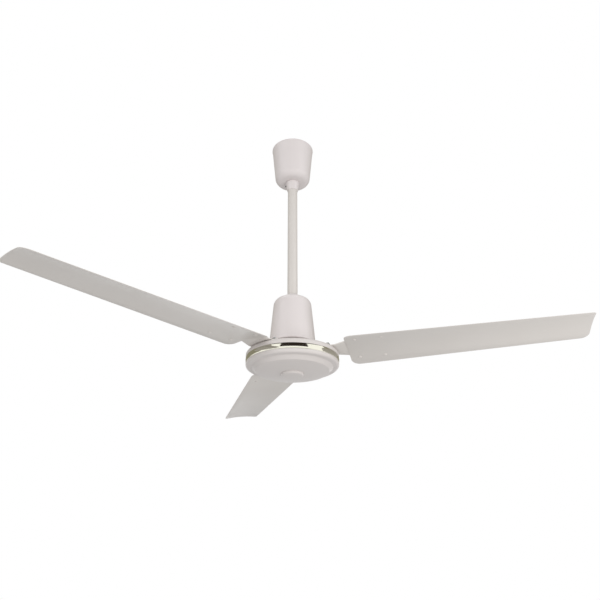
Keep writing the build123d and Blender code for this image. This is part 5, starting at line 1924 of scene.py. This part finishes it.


@dataclass
class Studio(Bench):
    """Camera, floor, lamps, glowing reflection cards and the white surroundings."""

    lens: float = 35.147  # focal length on a 36 mm sensor
    eye: Point = (0.35270, -1.34367, -1.14872)  # the camera's place
    floor_height: float = -2.4  # height of the floor
    floor_lit: float = 0.70  # linear grey of the floor in the light that it sends up
    floor_seen: float = 0.98  # linear grey of the floor as the camera and metal see it
    surround: float = 0.70  # light that comes from all round
    painted_reflection_boost: float = 0.5  # painted reflection: extra brightness of the surroundings that only reflections see, over the light the fan gets
    target: Point = (0.0, 0.0, -0.45)  # point that the lamps face
    band: float = -0.6648  # height of the bright band
    # the lamps
    panels: tuple[Panel, ...] = (
        Panel("front_panel", (0.5, -3.1, -0.45), 1.4, 18.0),
        Panel("low_front_panel", (0.3, -3.0, -0.9), 1.6, 8.0),
        Panel("low_right_panel", (1.6, -0.7, -1.5), 0.9, 10.5),
    )
    # glowing cards that only reflections see: painted dark and olive reflections in the bright band
    cards: tuple[Card, ...] = (
        Card("dark_reflection_card", (-104.0, -39.0), (0.36, 2.4), 1.7, (0.04, 0.03, 0.027)),
        Card("upper_reflection_card", (-135.0, 15.0), (1.40, 2.8), 1.8, (0.03, 0.03, 0.03)),
        Card("back_reflection_card", (10.0, 205.0), (0.28, 3.2), 2.2, (0.36, 0.34, 0.26)),
    )

    def build(self) -> None:
        """Make everything that isn't part of the fan."""
        self.camera()
        self.floor()
        self.world()
        for panel in self.panels:
            self.lamp(panel)
        for card in self.cards:
            self.stand(card)
        bpy.context.scene.view_settings.view_transform = "Standard"

    def camera(self) -> None:
        """Camera below the blades, looking up; its place and turn are fitted to the photograph."""
        right = Vector((0.97020554, 0.2422395, -0.00460883))
        down = Vector((-0.10717261, 0.41202681, -0.90484692))
        forward = Vector((-0.2172907, 0.87838143, 0.42571213))
        data = bpy.data.cameras.new("camera")
        data.lens, data.sensor_width = self.lens, 36.0
        camera = bpy.data.objects.new("camera", data)
        bpy.context.scene.collection.objects.link(camera)
        turn = Matrix((right, -down, -forward)).transposed().to_4x4()
        camera.matrix_world = Matrix.Translation(self.eye) @ turn
        bpy.context.scene.camera = camera

    def floor(self) -> None:
        """Wide pale floor far below the fan."""
        bpy.ops.mesh.primitive_plane_add(size=50.0, location=(0, 0, self.floor_height))
        plane = bpy.context.active_object
        plane.name = "floor"
        paint = bpy.data.materials.new("floor_paint")
        wire = Shader(emptied(paint))
        greys = ((tone, tone, tone, 1.0) for tone in (self.floor_lit, self.floor_seen))
        colour = wire.blend(self.shown(wire), *greys)
        matt = wire.node("ShaderNodeBsdfDiffuse", {"Color": colour})
        wire.node("ShaderNodeOutputMaterial", {"Surface": matt.outputs[0]})
        plane.data.materials.append(paint)

    def shown(self, wire: Shader) -> Socket:
        """Whether the camera sees a surface, straight or in metal or glass.

        Args:
            wire: the tree that asks.

        Returns:
            A socket that is 1 where it does.
        """
        path = wire.node("ShaderNodeLightPath").outputs
        seen = wire.math("MAXIMUM", path["Is Camera Ray"], path["Is Glossy Ray"])
        return wire.math("MAXIMUM", seen, path["Is Transmission Ray"])

    def world(self) -> None:
        """White for the camera, softer light for the fan, and a painted reflection: reflections see the
        surroundings brighter than that light.
        """
        world = bpy.data.worlds.new("surround")
        bpy.context.scene.world = world
        wire = Shader(emptied(world))
        mirrored = wire.node("ShaderNodeLightPath").outputs["Is Glossy Ray"]
        plain = wire.spread(self.shown(wire), self.surround, 1.0)
        # painted reflection: glossy rays see the surroundings brighter than the light that falls on the fan
        strength = wire.math("ADD", plain, wire.spread(mirrored, 0.0, self.painted_reflection_boost))
        sky = wire.node("ShaderNodeBackground", {"Color": (1, 1, 1, 1), "Strength": strength})
        wire.node("ShaderNodeOutputWorld", {"Surface": sky.outputs[0]})

    def lamp(self, panel: Panel) -> None:
        """Hang a soft lamp that faces the fan.

        Args:
            panel: the lamp.
        """
        data = bpy.data.lights.new(panel.name, "AREA")
        data.size, data.energy = panel.size, panel.power
        lamp = bpy.data.objects.new(panel.name, data)
        bpy.context.scene.collection.objects.link(lamp)
        lamp.location = panel.place
        lamp.visible_glossy = False
        lamp.rotation_mode = "QUATERNION"
        lamp.rotation_quaternion = (Vector(self.target) - Vector(panel.place)).to_track_quat("-Z", "Y")

    def stand(self, card: Card) -> None:
        """Stand a glowing card round the fan, seen only in reflections: a painted reflection.

        Args:
            card: the card.
        """
        piece = self.point(card.name)
        edge = [(card.reach / MM, (self.band + height) / MM) for height in card.heights]
        self.draw(edge, closed=False)
        self.spin(48, card.turns[1] - card.turns[0])
        self.settle(self.finish(piece), turned_by(card.turns[1], "Z"))
        sheen = bpy.data.materials.new(card.name)
        wire = Shader(emptied(sheen))
        # the card glows though it is no lamp: a painted reflection
        glow = wire.node("ShaderNodeEmission", {"Color": (*card.tone, 1.0)})
        wire.node("ShaderNodeOutputMaterial", {"Surface": glow.outputs[0]})
        piece.data.materials.append(sheen)
        for ray in ("camera", "diffuse", "transmission", "shadow"):
            setattr(piece, f"visible_{ray}", False)


def main() -> None:
    """Build the sub-assemblies in order, then the studio, and log what is built."""
    logging.basicConfig(level=logging.INFO, format="%(message)s")
    dressing = Dressing()
    for assembly in (HangerSet, CanopySet, CoverSet, DriveSet, Winding, BearingCages, Housing, BladeSet):
        assembly(dressing).build()
        log.info("built %s", assembly.__name__)
    Studio().build()


if __name__ == "__main__":
    main()
